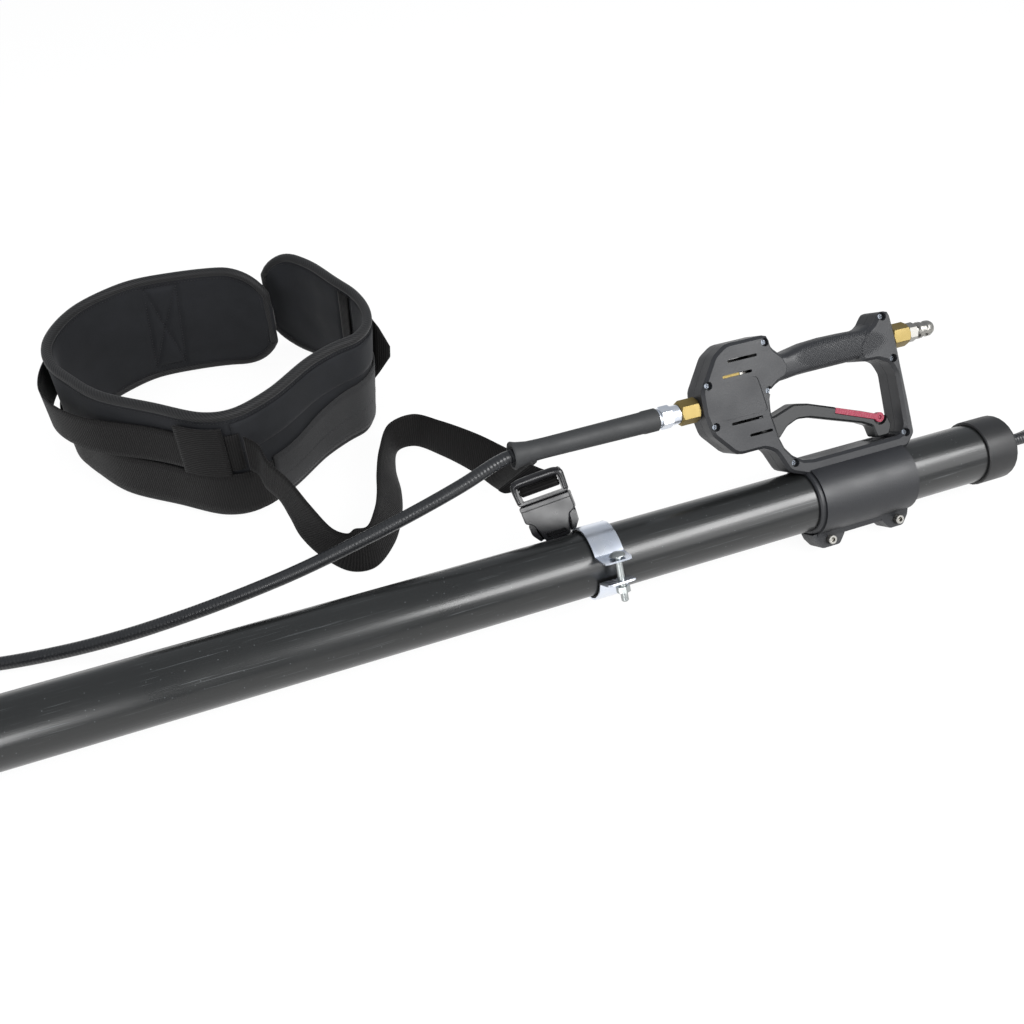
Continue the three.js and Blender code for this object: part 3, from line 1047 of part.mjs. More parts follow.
function tether(parent) {
  const point = ([x, y, z]) => new THREE.Vector3(x, y, z);
  const edges = TETHER_EDGES.map(([low, high]) => [point(low), point(high)]);
  const lows = new THREE.CatmullRomCurve3(edges.map(([low]) => low), false, 'centripetal');
  const highs = new THREE.CatmullRomCurve3(edges.map(([, high]) => high), false, 'centripetal');
  const steps = 48;
  const rings = [];
  for (let i = 0; i <= steps; i += 1) {
    const t = i / steps;
    const low = lows.getPoint(t);
    const high = highs.getPoint(t);
    const middle = low.clone().add(high).multiplyScalar(0.5);
    const across = high.clone().sub(low).normalize();
    const heading = lows.getTangent(t).add(highs.getTangent(t));
    const face = new THREE.Vector3().crossVectors(across, heading).normalize();
    const corner = (a, f) => middle.clone().addScaledVector(across, (a * WEB_WIDTH) / 2)
      .addScaledVector(face, (f * WEB_THICKNESS) / 2);
    rings.push([corner(-1, -1), corner(1, -1), corner(1, 1), corner(-1, 1)]);
  }
  // the last stretch slips behind the plug's top bar and is folded forward round the bar in its slot
  const toSlot = buckleFrame();
  const half = BUCKLE_SLOT_WIDTH / 2 - 0.8;
  const fold = [200, 235, 270, 305, 340, 375, 410, 440].map((degrees) => {
    const a = radians(degrees);
    return [STRAP_BAR_Y + STRAP_FOLD * Math.cos(a), STRAP_FOLD * Math.sin(a)];
  });
  const run = [[-3.5, 7.5, 1.6], [1.5, 6.6, 1.2], [5, 4.6, 0.3], [7.2, 2.2, 0], ...fold];
  run.forEach(([along, depth, spread = 0], i) => {
    const [fromAlong, fromDepth] = run[Math.max(i - 1, 0)];
    const [toAlong, toDepth] = run[Math.min(i + 1, run.length - 1)];
    const normal = new THREE.Vector2(fromDepth - toDepth, toAlong - fromAlong).setLength(WEB_THICKNESS / 2);
    const ends = [[-half - spread, -1], [half + spread, -1], [half + spread, 1], [-half - spread, 1]];
    rings.push(ends.map(([x, side]) => new THREE.Vector3(x, along + side * normal.x, depth + side * normal.y)
      .applyMatrix4(toSlot)));
  });
  piece(parent, 'tether_strap', loft(rings), 'webbing');
}

function anchorStrap(pole) {
  // webbing held under the band clamp, running up to the socket's bar behind the pole
  const r0 = ANCHOR_IR;
  const r1 = ANCHOR_IR + WEB_THICKNESS;
  const x0 = CLAMP_X - ANCHOR_WIDTH / 2;
  const x1 = CLAMP_X + ANCHOR_WIDTH / 2;
  // the loop is as wide as the band covers, and steps out from under it where the tail leaves, behind the tube
  const tab = common(pipe(x0 - 3, x0 + 1, r1, r0, 36), box(x0 - 4, x0 + 2, r0 * 0.6, r1 + 5, -r0 * 0.7, r0 * 0.7));
  const loop = join(pipe(x0, x1, r1, r0, 36), tab);
  const frame = buckleFrame();
  const end = BUCKLE_FRAME + SEAT_GAP + BUCKLE_BODY;
  const back = BUCKLE_THICKNESS / 2 + WEB_THICKNESS;
  const bar = new THREE.Vector3(0, end - 5, back).applyMatrix4(frame);
  const under = new THREE.Vector3(0, end + 2, back + 1).applyMatrix4(frame);
  const across = BUCKLE_ACROSS.clone();
  // the tail leaves sideways from under the band and twists to lie along the socket's bar
  const outward = new THREE.Vector3(0, ...lockPoint(1, TAIL_ANGLE).toArray());
  const round = new THREE.Vector3(0, -outward.z, outward.y);
  const onTube = (x, lift) => outward.clone().multiplyScalar((r0 + r1) / 2 + lift).setX(x);
  const route = [
    [onTube(x0 - 1.5, 0), 0], [onTube(x0 - 4, 0), 0], [onTube(x0 - 8, 1.5), 0.25],
    [onTube(x0 - 10, 3).lerp(under, 0.5), 0.7], [under, 1], [bar, 1],
  ];
  const rings = route.map(([middle, t], i) => {
    const next = route[Math.min(i + 1, route.length - 1)][0];
    const heading = next.clone().sub(route[Math.max(i - 1, 0)][0]);
    const side = round.clone().multiplyScalar(1 - t).addScaledVector(across, t);
    side.addScaledVector(heading, -side.dot(heading) / heading.lengthSq()).setLength(ANCHOR_WIDTH * 0.4);
    const half = new THREE.Vector3().crossVectors(side, heading).setLength(WEB_THICKNESS / 2);
    return [[-1, -1], [1, -1], [1, 1], [-1, 1]].map(([a, b]) => middle.clone()
      .addScaledVector(side, a).addScaledVector(half, b));
  });
  piece(pole, 'anchor_strap', join(loop, loft(rings)), 'webbing');
}

// ---------------------------------------------------------------- assembly

const assembly = new THREE.Group();
const pole = new THREE.Group();
pole.position.z = AXIS_HEIGHT;
assembly.add(pole);

poleTubes(pole);
buttCap(pole);
tubeLock(pole, 'base_lock', BASE_END, BASE_R, MIDDLE_R);
tubeLock(pole, 'middle_lock', MIDDLE_END, MIDDLE_R, INNER_R);
tipParts(pole);
bandClamp(pole);

const gun = new THREE.Group();
gun.position.x = GUN_X;
gun.rotation.x = -LEAN;
gun.updateMatrix();
pole.add(gun);
piece(gun, 'front_shell', gunShell(-1), 'satin_black');
piece(gun, 'back_shell', gunShell(1), 'satin_black');
SHELL_SCREWS.forEach(([x, z], i) => piece(gun, `shell_screw_${i + 1}`, shellScrew(x, z), 'steel'));
valve(gun);
trigger(gun);
fittings(gun);
lugFasteners(gun);
hose(pole, gun.matrix);

const waistBelt = new THREE.Group();
waistBelt.position.set(BELT_X, BELT_Y, 0);
assembly.add(waistBelt);
belt(waistBelt);
tether(pole);
buckle(pole, pole);
anchorStrap(pole);

// the origin is the middle of the footprint, on the floor
assembly.updateMatrixWorld(true);
const CORDS = ['hose_out', 'hose_coil', 'hose_back'];
const extent = new THREE.Box3();
assembly.traverse((item) => {
  if (item.isMesh && !CORDS.includes(item.name)) {
    extent.expandByObject(item, true);
  }
});
assembly.position.set(-(extent.min.x + extent.max.x) / 2, -(extent.min.y + extent.max.y) / 2, -extent.min.z);

export default assembly;
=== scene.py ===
import json
import math

import bmesh
import bpy
from mathutils import Matrix, Vector, noise

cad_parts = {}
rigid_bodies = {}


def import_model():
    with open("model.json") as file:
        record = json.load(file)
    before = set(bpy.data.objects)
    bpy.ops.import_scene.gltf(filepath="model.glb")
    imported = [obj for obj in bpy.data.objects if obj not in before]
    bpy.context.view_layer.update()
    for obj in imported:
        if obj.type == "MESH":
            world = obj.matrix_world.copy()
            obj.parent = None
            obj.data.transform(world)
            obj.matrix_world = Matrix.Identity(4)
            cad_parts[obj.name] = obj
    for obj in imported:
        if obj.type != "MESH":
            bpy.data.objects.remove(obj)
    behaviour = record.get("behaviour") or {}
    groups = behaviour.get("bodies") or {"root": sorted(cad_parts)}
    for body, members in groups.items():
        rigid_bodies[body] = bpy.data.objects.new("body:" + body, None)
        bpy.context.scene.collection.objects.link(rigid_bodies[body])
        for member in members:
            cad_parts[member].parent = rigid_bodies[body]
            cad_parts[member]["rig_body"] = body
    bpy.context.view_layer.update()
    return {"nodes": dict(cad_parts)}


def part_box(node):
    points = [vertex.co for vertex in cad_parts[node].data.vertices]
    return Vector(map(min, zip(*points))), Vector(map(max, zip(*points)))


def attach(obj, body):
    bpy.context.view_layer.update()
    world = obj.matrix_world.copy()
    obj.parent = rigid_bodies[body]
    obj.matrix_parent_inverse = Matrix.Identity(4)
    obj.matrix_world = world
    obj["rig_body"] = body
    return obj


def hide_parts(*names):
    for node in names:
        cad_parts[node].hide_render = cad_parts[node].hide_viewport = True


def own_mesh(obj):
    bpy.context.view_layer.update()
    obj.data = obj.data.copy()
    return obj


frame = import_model()


# ---------------------------------------------------------------- viewpoint
# The pole lies on a white table, and the camera looks down on its butt end from about standing height,
# with the pole running out of the picture on the left. Places are given in millimetres from the middle
# of the pole's butt end: x along the pole, y away from the viewer, z up.
tube_low, tube_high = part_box("base_tube")
butt = Vector((tube_high.x, (tube_low.y + tube_high.y) / 2, (tube_low.z + tube_high.z) / 2))
floor_z = -butt.z * 1000


def from_butt(x, y, z):
    return butt + Vector((x, y, z)) / 1000


camera = bpy.data.objects.new("camera", bpy.data.cameras.new("camera"))
camera.data.sensor_width = 36
camera.data.lens = 35.34
camera.location = from_butt(-671, -503.25, 613.9)
camera.rotation_euler = [math.radians(a) for a in (45.435, 0, -20.951)]
bpy.context.collection.objects.link(camera)
bpy.context.scene.camera = camera


# ---------------------------------------------------------------- high-pressure hose
# Wire-braided hose with a black synthetic rubber cover. Cloth wrapped round it while it cured has left
# fine rings on it, which catch the light. It leaves the gun's rubber sleeve, lies coiled past the view,
# and comes back beside the pole into the butt cap.
HOSE_DIAMETER = 11.2
COIL_CENTRE = (-1037, 194.6)
COIL_INNER = 60.4
COIL_OUTER = 71.6
COIL_TURNS = 3.75


def smooth_path(points, spacing):
    """Points about `spacing` metres apart along a smooth curve through the given ones."""
    given = [Vector(p) for p in points]
    ends = [2 * given[0] - given[1], *given, 2 * given[-1] - given[-2]]
    fine = []
    for a, b, c, d in zip(ends, ends[1:], ends[2:], ends[3:]):
        t1 = (b - a).length ** 0.5
        t2 = t1 + (c - b).length ** 0.5
        t3 = t2 + (d - c).length ** 0.5
        for i in range(20):
            t = t1 + (t2 - t1) * i / 20
            near = a.lerp(b, t / t1)
            middle = b.lerp(c, (t - t1) / (t2 - t1))
            far = c.lerp(d, (t - t2) / (t3 - t2))
            before, after = near.lerp(middle, t / t2), middle.lerp(far, (t - t1) / (t3 - t1))
            fine.append(before.lerp(after, (t - t1) / (t2 - t1)))
    fine.append(given[-1])
    reach = [0.0]
    for a, b in zip(fine, fine[1:]):
        reach.append(reach[-1] + (b - a).length)
    count = max(2, round(reach[-1] / spacing))
    path, j = [], 0
    for i in range(count + 1):
        distance = reach[-1] * i / count
        while j < len(reach) - 2 and reach[j + 1] < distance:
            j += 1
        path.append(fine[j].lerp(fine[j + 1], (distance - reach[j]) / (reach[j + 1] - reach[j])))
    return path


def distances(path):
    """How far along the path each of its points lies, in metres."""
    reach = [0.0]
    for a, b in zip(path, path[1:]):
        reach.append(reach[-1] + (b - a).length)
    return reach


def skin(name, rings, ring_uvs, material, closed=False, smooth=True):
    """A mesh stretched over rings of points, each ring a closed loop. UVs are in metres."""
    size = len(rings[0])
    mesh = bpy.data.meshes.new(name)
    points = [p for ring in rings for p in ring]
    faces, uvs = [], []
    pairs = len(rings) if closed else len(rings) - 1
    for i in range(pairs):
        j = (i + 1) % len(rings)
        for k in range(size):
            m = (k + 1) % size
            faces.append((i * size + k, i * size + m, j * size + m, j * size + k))
            ends = ring_uvs[i], ring_uvs[i + 1]
            uvs += [ends[0][k], ends[0][k + 1], ends[1][k + 1], ends[1][k]]
    if not closed:
        faces.append(tuple(reversed(range(size))))
        uvs += [ring_uvs[0][k] for k in reversed(range(size))]
        last = (len(rings) - 1) * size
        faces.append(tuple(last + k for k in range(size)))
        uvs += [ring_uvs[-1][k] for k in range(size)]
    mesh.from_pydata(points, [], faces)
    layer = mesh.uv_layers.new(name="UVMap")
    for loop, uv in zip(layer.data, uvs):
        loop.uv = uv
    built = bmesh.new()
    built.from_mesh(mesh)
    bmesh.ops.recalc_face_normals(built, faces=built.faces)
    built.to_mesh(mesh)
    built.free()
    mesh.polygons.foreach_set("use_smooth", [smooth] * len(mesh.polygons))
    mesh.materials.append(material)
    made = bpy.data.objects.new(name, mesh)
    bpy.context.collection.objects.link(made)
    return made


def round_tube(name, path, radius, sides, material):
    """A round bar or hose along a path, with rings that don't twist."""
    reach = distances(path)
    heading = (path[1] - path[0]).normalized()
    side = heading.orthogonal().normalized()
    rings, uvs = [], []
    for i, point in enumerate(path):
        new_heading = (path[min(i + 1, len(path) - 1)] - path[max(i - 1, 0)]).normalized()
        side = (heading.rotation_difference(new_heading) @ side).normalized()
        heading = new_heading
        up = heading.cross(side)
        angles = [2 * math.pi * k / sides for k in range(sides)]
        rings.append([point + radius * (math.cos(a) * side + math.sin(a) * up) for a in angles])
        uvs.append([(reach[i], radius * 2 * math.pi * k / sides) for k in range(sides + 1)])
    return skin(name, rings, uvs, material)


def linear(code):
    """A colour written as sRGB hex, such as "1b1c1e", in the linear values that shaders take."""
    parts = [int(code[i:i + 2], 16) / 255 for i in (0, 2, 4)]
    return (*[c / 12.92 if c <= 0.04045 else ((c + 0.055) / 1.055) ** 2.4 for c in parts], 1.0)


def add_node(material, kind, inputs, outputs=None, **settings):
    """Adds one shader node. An input is a socket to link or a value, and `outputs` name sockets to feed."""
    node = material.node_tree.nodes.new(kind)
    for name, value in settings.items():
        setattr(node, name, value)
    for name, value in inputs.items():
        if isinstance(value, bpy.types.NodeSocket):
            material.node_tree.links.new(value, node.inputs[name])
        else:
            node.inputs[name].default_value = value
    for name, socket in (outputs or {}).items():
        material.node_tree.links.new(node.outputs[name], socket)
    return node


def start_material(name, colour, levels):
    """A new material, the sockets of its surface at these levels, and the coordinates for its patterns."""
    material = bpy.data.materials.new(name)
    material.use_nodes = True
    surface = material.node_tree.nodes["Principled BSDF"].inputs
    surface["Base Color"].default_value = linear(colour)
    for socket, level in levels.items():
        surface[socket].default_value = level
    return material, surface, add_node(material, "ShaderNodeTexCoord", {}).outputs


def drifting_shine(material, surface, place, scale, low, high, detail=3.0):
    """Lets the roughness drift between two levels, in soft patches `1 / scale` metres across."""
    cloud = add_node(material, "ShaderNodeTexNoise", {
        "Vector": place["Object"], "Scale": scale, "Detail": detail,
    })
    add_node(material, "ShaderNodeMapRange", {
        "Value": cloud.outputs["Fac"], "From Min": 0.35, "From Max": 0.65, "To Min": low, "To Max": high,
    }, {"Result": surface["Roughness"]})


def bands_apart(pitch):
    """The scale that spaces a wave texture's bands this many metres apart."""
    return 2 * math.pi / 20 / pitch


# Cured synthetic rubber: a soft sheen, broken by cloth rings 3 mm apart, drawn a little coarser than real.
hose_rubber, surface, place = start_material("wrapped synthetic rubber", "17181a", {"Roughness": 0.34})
cloth_rings = add_node(hose_rubber, "ShaderNodeTexWave", {
    "Vector": place["UV"], "Scale": bands_apart(0.003), "Distortion": 0.8, "Detail": 2.0,
    "Detail Scale": 2.0,
}, bands_direction="X")
add_node(hose_rubber, "ShaderNodeBump", {
    "Height": cloth_rings.outputs["Fac"], "Distance": 0.00026, "Strength": 0.8,
}, {"Normal": surface["Normal"]})
drifting_shine(hose_rubber, surface, place, 60, 0.28, 0.42)

sleeve_low, sleeve_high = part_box("bend_sleeve")
mouth = Vector((sleeve_low.x, (sleeve_low.y + sleeve_high.y) / 2, (sleeve_low.z + sleeve_high.z) / 2))
hose_rest = floor_z + HOSE_DIAMETER / 2 + 0.3
hose_over = hose_rest + HOSE_DIAMETER + 1
hose_out = [
    (-467, 59, 80.8), (-500, 54, 70.5), (-545, 54.5, 52.5), (-590, 57, 35), (-638, 60, 18),
    (-683, 65, 3.5), (-730, 71.2, -10), (-780, 78.6, -22), (-828, 87.2, -30.5), (-880, 97.2, hose_rest),
    (-930, 109, hose_rest), (-965, 118.5, hose_rest), (-996.2, 123, hose_rest),
]
hose_back = [
    (-965.4, 153.8, hose_over + 4.5), (-964, 118.5, hose_over + 0.5), (-955, 87, hose_rest + 7.5),
    (-929, 61, hose_rest + 2.5), (-885, 46, hose_rest + 0.4), (-820, 36, hose_rest),
    (-740, 30, hose_rest), (-500, 29, hose_rest), (-200, 29, hose_rest), (30, 29, hose_rest),
    (84, 31, hose_rest), (130, 48, hose_rest), (176, 60, hose_rest + 4), (212, 40, hose_rest + 11),
    (218, 0, -20), (188, -36, -11), (142, -38, -4), (102, -14, -0.5), (72, -2, 0), (44, 0, 0),
    (4.1, 0, 0),
]


def step_up(value, start, end):
    """0 before start, 1 after end, and an even curve between them."""
    t = min(1.0, max(0.0, (value - start) / (end - start)))
    return t * t * (3 - 2 * t)


def coil_point(turn):
    """The hose in its coil: outer turn, inner turn, inner and outer turn on top, and out over them."""
    inward = step_up(turn, 0.84, 1.0) - step_up(turn, 2.48, 2.66)
    layer = step_up(turn, 1.66, 1.84) + step_up(turn, 3.3, 3.48)
    radius = COIL_OUTER + (COIL_INNER - COIL_OUTER) * inward
    angle = -math.pi / 2 - 2 * math.pi * turn
    return (COIL_CENTRE[0] + radius * math.cos(angle), COIL_CENTRE[1] + radius * math.sin(angle),
            hose_rest + layer * HOSE_DIAMETER)


coil_steps = 90
coil = [coil_point(COIL_TURNS * i / coil_steps) for i in range(coil_steps + 1)]
hose_points = [mouth + Vector((0.008, 0, 0)), mouth, *[from_butt(*p) for p in hose_out + coil + hose_back]]
hose_path = smooth_path(hose_points, 0.007)
hose = round_tube("pressure_hose", hose_path, HOSE_DIAMETER / 2000, 16, hose_rubber)
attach(hose, "pole")
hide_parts("hose_out", "hose_coil", "hose_back")


# ---------------------------------------------------------------- pole tubes
# Pultruded glass-fibre tubes with a polished black gel coat. The coat mirrors the lamps in long lines,
# and years of sliding and laying down have left faint scuffs along it.
gel_coat, surface, place = start_material("gel-coated glass-fibre tube", "111212", {
    "Roughness": 0.28, "Coat Weight": 0.25, "Coat Roughness": 0.16,
})
# scuffs run along the tube, some 80 mm long and under 1 mm wide
along = add_node(gel_coat, "ShaderNodeMapping", {"Vector": place["Object"], "Scale": (12, 900, 900)})
scuff = add_node(gel_coat, "ShaderNodeTexNoise", {
    "Vector": along.outputs["Vector"], "Scale": 1.0, "Detail": 4.0, "Roughness": 0.65,
})
scuff_level = add_node(gel_coat, "ShaderNodeMapRange", {
    "Value": scuff.outputs["Fac"], "From Min": 0.61, "From Max": 0.76, "To Min": 0.0, "To Max": 0.55,
})
# fine chips and grit under half a millimetre wide show as pale specks
grit = add_node(gel_coat, "ShaderNodeTexVoronoi", {"Vector": place["Object"], "Scale": 170.0})
speck = add_node(gel_coat, "ShaderNodeMapRange", {
    "Value": grit.outputs["Distance"], "From Min": 0.04, "From Max": 0.1, "To Min": 0.55, "To Max": 0.0,
})
worn = add_node(gel_coat, "ShaderNodeMath", {
    0: scuff_level.outputs["Result"], 1: speck.outputs["Result"],
}, operation="MAXIMUM")
# a colour mix takes its two colours at inputs 6 and 7 and gives the result at output 2
add_node(gel_coat, "ShaderNodeMix", {
    "Factor": worn.outputs["Value"], 6: linear("111212"), 7: linear("54585a"),
}, {2: surface["Base Color"]}, data_type="RGBA")
cloud = add_node(gel_coat, "ShaderNodeTexNoise", {"Vector": place["Object"], "Scale": 14.0, "Detail": 5.0})
sheen_level = add_node(gel_coat, "ShaderNodeMapRange", {
    "Value": cloud.outputs["Fac"], "From Min": 0.3, "From Max": 0.7, "To Min": 0.26, "To Max": 0.36,
})
add_node(gel_coat, "ShaderNodeMath", {
    0: scuff_level.outputs["Result"], 1: 0.4, 2: sheen_level.outputs["Result"],
}, {"Value": surface["Roughness"]}, operation="MULTIPLY_ADD")
# the die that the tube was drawn through left faint lines along it, some 4 mm apart, that streak the shine
drawn = add_node(gel_coat, "ShaderNodeMapping", {"Vector": place["Object"], "Scale": (1.2, 240, 240)})
die_lines = add_node(gel_coat, "ShaderNodeTexNoise", {
    "Vector": drawn.outputs["Vector"], "Scale": 1.0, "Detail": 2.0,
})
add_node(gel_coat, "ShaderNodeBump", {
    "Height": die_lines.outputs["Fac"], "Distance": 0.00018, "Strength": 0.8,
}, {"Normal": surface["Normal"]})


def finished(material, names, crease=35, softened=0.0):
    """Finished twins of CAD parts, welded so that curves shade as one surface, with softened edges in mm."""
    flat = math.radians(0.6)
    for name in names:
        plain = frame["nodes"][name]
        mesh = bpy.data.meshes.new(name + "_finished")
        facets = [tuple(face.vertices) for face in plain.data.polygons]
        mesh.from_pydata([corner.co for corner in plain.data.vertices], [], facets)
        built = bmesh.new()
        built.from_mesh(mesh)
        bmesh.ops.remove_doubles(built, verts=built.verts, dist=0.000004)
        bmesh.ops.dissolve_limit(built, angle_limit=flat, verts=built.verts, edges=built.edges)
        for face in built.faces:
            face.smooth = True
        for edge in built.edges:
            turn = edge.calc_face_angle(0.0) if len(edge.link_faces) == 2 else 0.0
            edge.smooth = bool(softened) or turn < math.radians(crease)
        built.to_mesh(mesh)
        built.free()
        mesh.materials.append(material)
        twin = bpy.data.objects.new(name + "_finished", mesh)
        bpy.context.collection.objects.link(twin)
        if softened:
            edges = twin.modifiers.new("soft edges", "BEVEL")
            edges.width = softened / 1000
            edges.segments = 2
            edges.limit_method = "ANGLE"
            edges.angle_limit = math.radians(crease)
            edges.use_clamp_overlap = True
        shading = twin.modifiers.new("even shading", "WEIGHTED_NORMAL")
        shading.keep_sharp = True
        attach(twin, plain["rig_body"])
        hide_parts(name)


def finish_nodes(material, *names):
    """Gives CAD parts this material instead of the plain one that they came with."""
    for name in names:
        for material_slot in frame["nodes"][name].material_slots:
            material_slot.material = material


finished(gel_coat, ("base_tube", "middle_tube", "inner_tube"))


# ---------------------------------------------------------------- butt cap, tube locks and tip
# Injection-moulded parts: a soft PVC cap pressed over the butt, and polyamide collars with flip levers
# that squeeze each sliding tube. Moulding leaves an even satin skin with a very fine grain.


def moulded_skin(name, colour, roughness, grain, depth, strength, scale, detail=2.0):
    """A moulded resin with a fine grain. `roughness` is its level, then the range that it drifts in."""
    level, low, high = roughness
    material, surface, place = start_material(name, colour, {"Roughness": level})
    pits = add_node(material, "ShaderNodeTexNoise", {
        "Vector": place["Object"], "Scale": 1 / grain, "Detail": detail,
    })
    add_node(material, "ShaderNodeBump", {
        "Height": pits.outputs["Fac"], "Distance": depth, "Strength": strength,
    }, {"Normal": surface["Normal"]})
    drifting_shine(material, surface, place, scale, low, high)
    return material


soft_pvc = moulded_skin("moulded soft PVC", "131314", (0.42, 0.36, 0.5), 0.0011, 0.00004, 0.6, 30)
finished(soft_pvc, ("butt_cap",), softened=0.6)

polyamide = moulded_skin("moulded polyamide", "161718", (0.48, 0.42, 0.56), 0.0009, 0.00005, 0.7, 45)
finished(polyamide, (
    "base_lock_collar", "base_lock_lever", "middle_lock_collar", "middle_lock_lever", "tip_plug",
), softened=0.4)
finish_nodes(polyamide, "middle_guide_ring", "inner_guide_ring")


# ---------------------------------------------------------------- band clamp
# A bent strip of zinc-plated steel, 25 mm wide, closed by a plated round-headed bolt and a nut. The
# plating is bright with a cold blue cast, a little streaky where it was rolled.


def drifting_colour(material, surface, place, scale, dark, pale, detail=2.0):
    """Lets the colour drift between two shades, in soft clouds `1 / scale` metres across."""
    cloud = add_node(material, "ShaderNodeTexNoise", {
        "Vector": place["Object"], "Scale": scale, "Detail": detail,
    })
    add_node(material, "ShaderNodeMix", {
        "Factor": cloud.outputs["Fac"], 6: linear(dark), 7: linear(pale),
    }, {2: surface["Base Color"]}, data_type="RGBA")


zinc, surface, place = start_material("zinc-plated steel", "d8deea", {"Roughness": 0.26, "Metallic": 1.0})
drifting_colour(zinc, surface, place, 55, "dae3f4", "f3f5f8")
drifting_shine(zinc, surface, place, 50, 0.24, 0.32, 1.0)
finished(zinc, ("clamp_band", "hose_end"), softened=0.25)

# the bolt and nut were plated in a barrel, which leaves them duller and greyer than the strip
bolt_steel, surface, place = start_material("barrel-plated bolt steel", "a6aaa9", {
    "Roughness": 0.36, "Metallic": 1.0,
})
drifting_shine(bolt_steel, surface, place, 300, 0.3, 0.44)
finished(bolt_steel, ("clamp_bolt",), softened=0.25)
finish_nodes(bolt_steel, "clamp_nut")


# ---------------------------------------------------------------- webbing
# Woven polypropylene webbing. Its thick weft makes ribs across the strap, 2.2 mm apart, and every strap
# here is cut from it: the anchor strap under the clamp, the tether and the bands of the belt.
RIB_PITCH = 0.0022
webbing, surface, place = start_material("woven polypropylene webbing", "101010", {
    "Roughness": 0.6, "Specular IOR Level": 0.12, "Sheen Weight": 0.04, "Sheen Roughness": 0.4,
})
ribs = add_node(webbing, "ShaderNodeTexWave", {
    "Vector": place["UV"], "Scale": bands_apart(RIB_PITCH), "Distortion": 0.35, "Detail": 2.0,
    "Detail Scale": 4.0,
}, bands_direction="X")
# warp yarns run along the strap, 1.1 mm apart, and dip between the ribs
warp = add_node(webbing, "ShaderNodeTexWave", {
    "Vector": place["UV"], "Scale": bands_apart(0.0011), "Distortion": 0.5,
}, bands_direction="Y")
weave_height_and_shade = add_node(webbing, "ShaderNodeMath", {
    0: warp.outputs["Fac"], 1: 0.35, 2: ribs.outputs["Fac"],
}, operation="MULTIPLY_ADD")
add_node(webbing, "ShaderNodeBump", {
    "Height": weave_height_and_shade.outputs["Value"], "Distance": 0.00032, "Strength": 0.9,
}, {"Normal": surface["Normal"]})
# the colour follows the weave's height, so the dips between the ribs and yarns are painted darker: painted
# shade in the hollows
add_node(webbing, "ShaderNodeMix", {
    "Factor": weave_height_and_shade.outputs["Value"], 6: linear("040404"), 7: linear("131212"),
}, {2: surface["Base Color"]}, data_type="RGBA")


def band(name, lows, highs, thickness, material):
    """A flat strap between two edge lines, with rounded selvedges. UVs run along it and across it."""
    middle = [(a + b) / 2 for a, b in zip(lows, highs)]
    reach = distances(middle)
    half = thickness / 2
    strips = 6
    rings, uvs = [], []
    for i, centre in enumerate(middle):
        across = highs[i] - lows[i]
        width = across.length
        across = across / width
        heading = middle[min(i + 1, len(middle) - 1)] - middle[max(i - 1, 0)]
        out = across.cross(heading).normalized()
        face = [width * (k / strips - 0.5) for k in range(strips + 1)]
        face[0] += half
        face[-1] -= half
        section = [(-width / 2, 0), *[(x, half) for x in face], (width / 2, 0)]
        section += [(x, -y) for x, y in reversed(section[1:-1])]
        rings.append([centre + across * x + out * y for x, y in section])
        row = [(reach[i], x + width / 2) for x, y in section]
        uvs.append(row + row[:1])
    return skin(name, rings, uvs, material)


# ---------------------------------------------------------------- trigger gun
# Two glass-filled polyamide half shells, screwed together round the valve and clamped on the pole. The
# mould was spark-eroded, which gives the satin, slightly pebbled skin, coarser on the hand grip.
GUN_X = -154
GUN_LEAN = math.radians(36.4)
GRIP_DOT_PITCH = 0.0023


def on_gun(x, z, out):
    """A place in the gun's own frame, in mm: along the pole, up the gun and out of its front face."""
    up = Vector((0, math.sin(GUN_LEAN), math.cos(GUN_LEAN)))
    front = Vector((0, -math.cos(GUN_LEAN), math.sin(GUN_LEAN)))
    return from_butt(GUN_X + x, 0, 0) + (up * z + front * out) / 1000


gun_shell, surface, place = start_material("moulded glass-filled polyamide", "17181b", {"Roughness": 0.46})
grain = add_node(gun_shell, "ShaderNodeTexNoise", {
    "Vector": place["Object"], "Scale": 1 / 0.0012, "Detail": 3.0, "Roughness": 0.6,
})
pebble = add_node(gun_shell, "ShaderNodeTexVoronoi", {"Vector": place["Object"], "Scale": 1 / 0.0016})
skin_height = add_node(gun_shell, "ShaderNodeMath", {
    0: pebble.outputs["Distance"], 1: 0.4, 2: grain.outputs["Fac"],
}, operation="MULTIPLY_ADD")
# the grip has rows of raised dots 2.3 mm apart, in a long oval that fades out at its rim
gun_place = add_node(gun_shell, "ShaderNodeMapping", {
    "Vector": place["Object"], "Location": on_gun(0, 0, 0), "Rotation": (-GUN_LEAN, 0, 0),
}, vector_type="TEXTURE")
gun_axes = add_node(gun_shell, "ShaderNodeSeparateXYZ", {"Vector": gun_place.outputs["Vector"]})
front_plane = add_node(gun_shell, "ShaderNodeCombineXYZ", {
    "X": gun_axes.outputs["X"], "Y": gun_axes.outputs["Z"],
})
diagonal = add_node(gun_shell, "ShaderNodeMapping", {
    "Vector": front_plane.outputs["Vector"], "Rotation": (0, 0, math.radians(45)),
})
dots = add_node(gun_shell, "ShaderNodeTexVoronoi", {
    "Vector": diagonal.outputs["Vector"], "Scale": math.sqrt(2) / GRIP_DOT_PITCH, "Randomness": 0.0,
}, voronoi_dimensions="2D")
dot_height = add_node(gun_shell, "ShaderNodeMapRange", {
    "Value": dots.outputs["Distance"], "From Min": 0.2, "From Max": 0.5, "To Min": 1.0, "To Max": 0.0,
})
from_middle = add_node(gun_shell, "ShaderNodeVectorMath", {
    0: gun_place.outputs["Vector"], 1: (0.002, 0, 0.1235),
}, operation="SUBTRACT")
oval = add_node(gun_shell, "ShaderNodeVectorMath", {
    0: from_middle.outputs["Vector"], 1: (22, 0, 75),
}, operation="MULTIPLY")
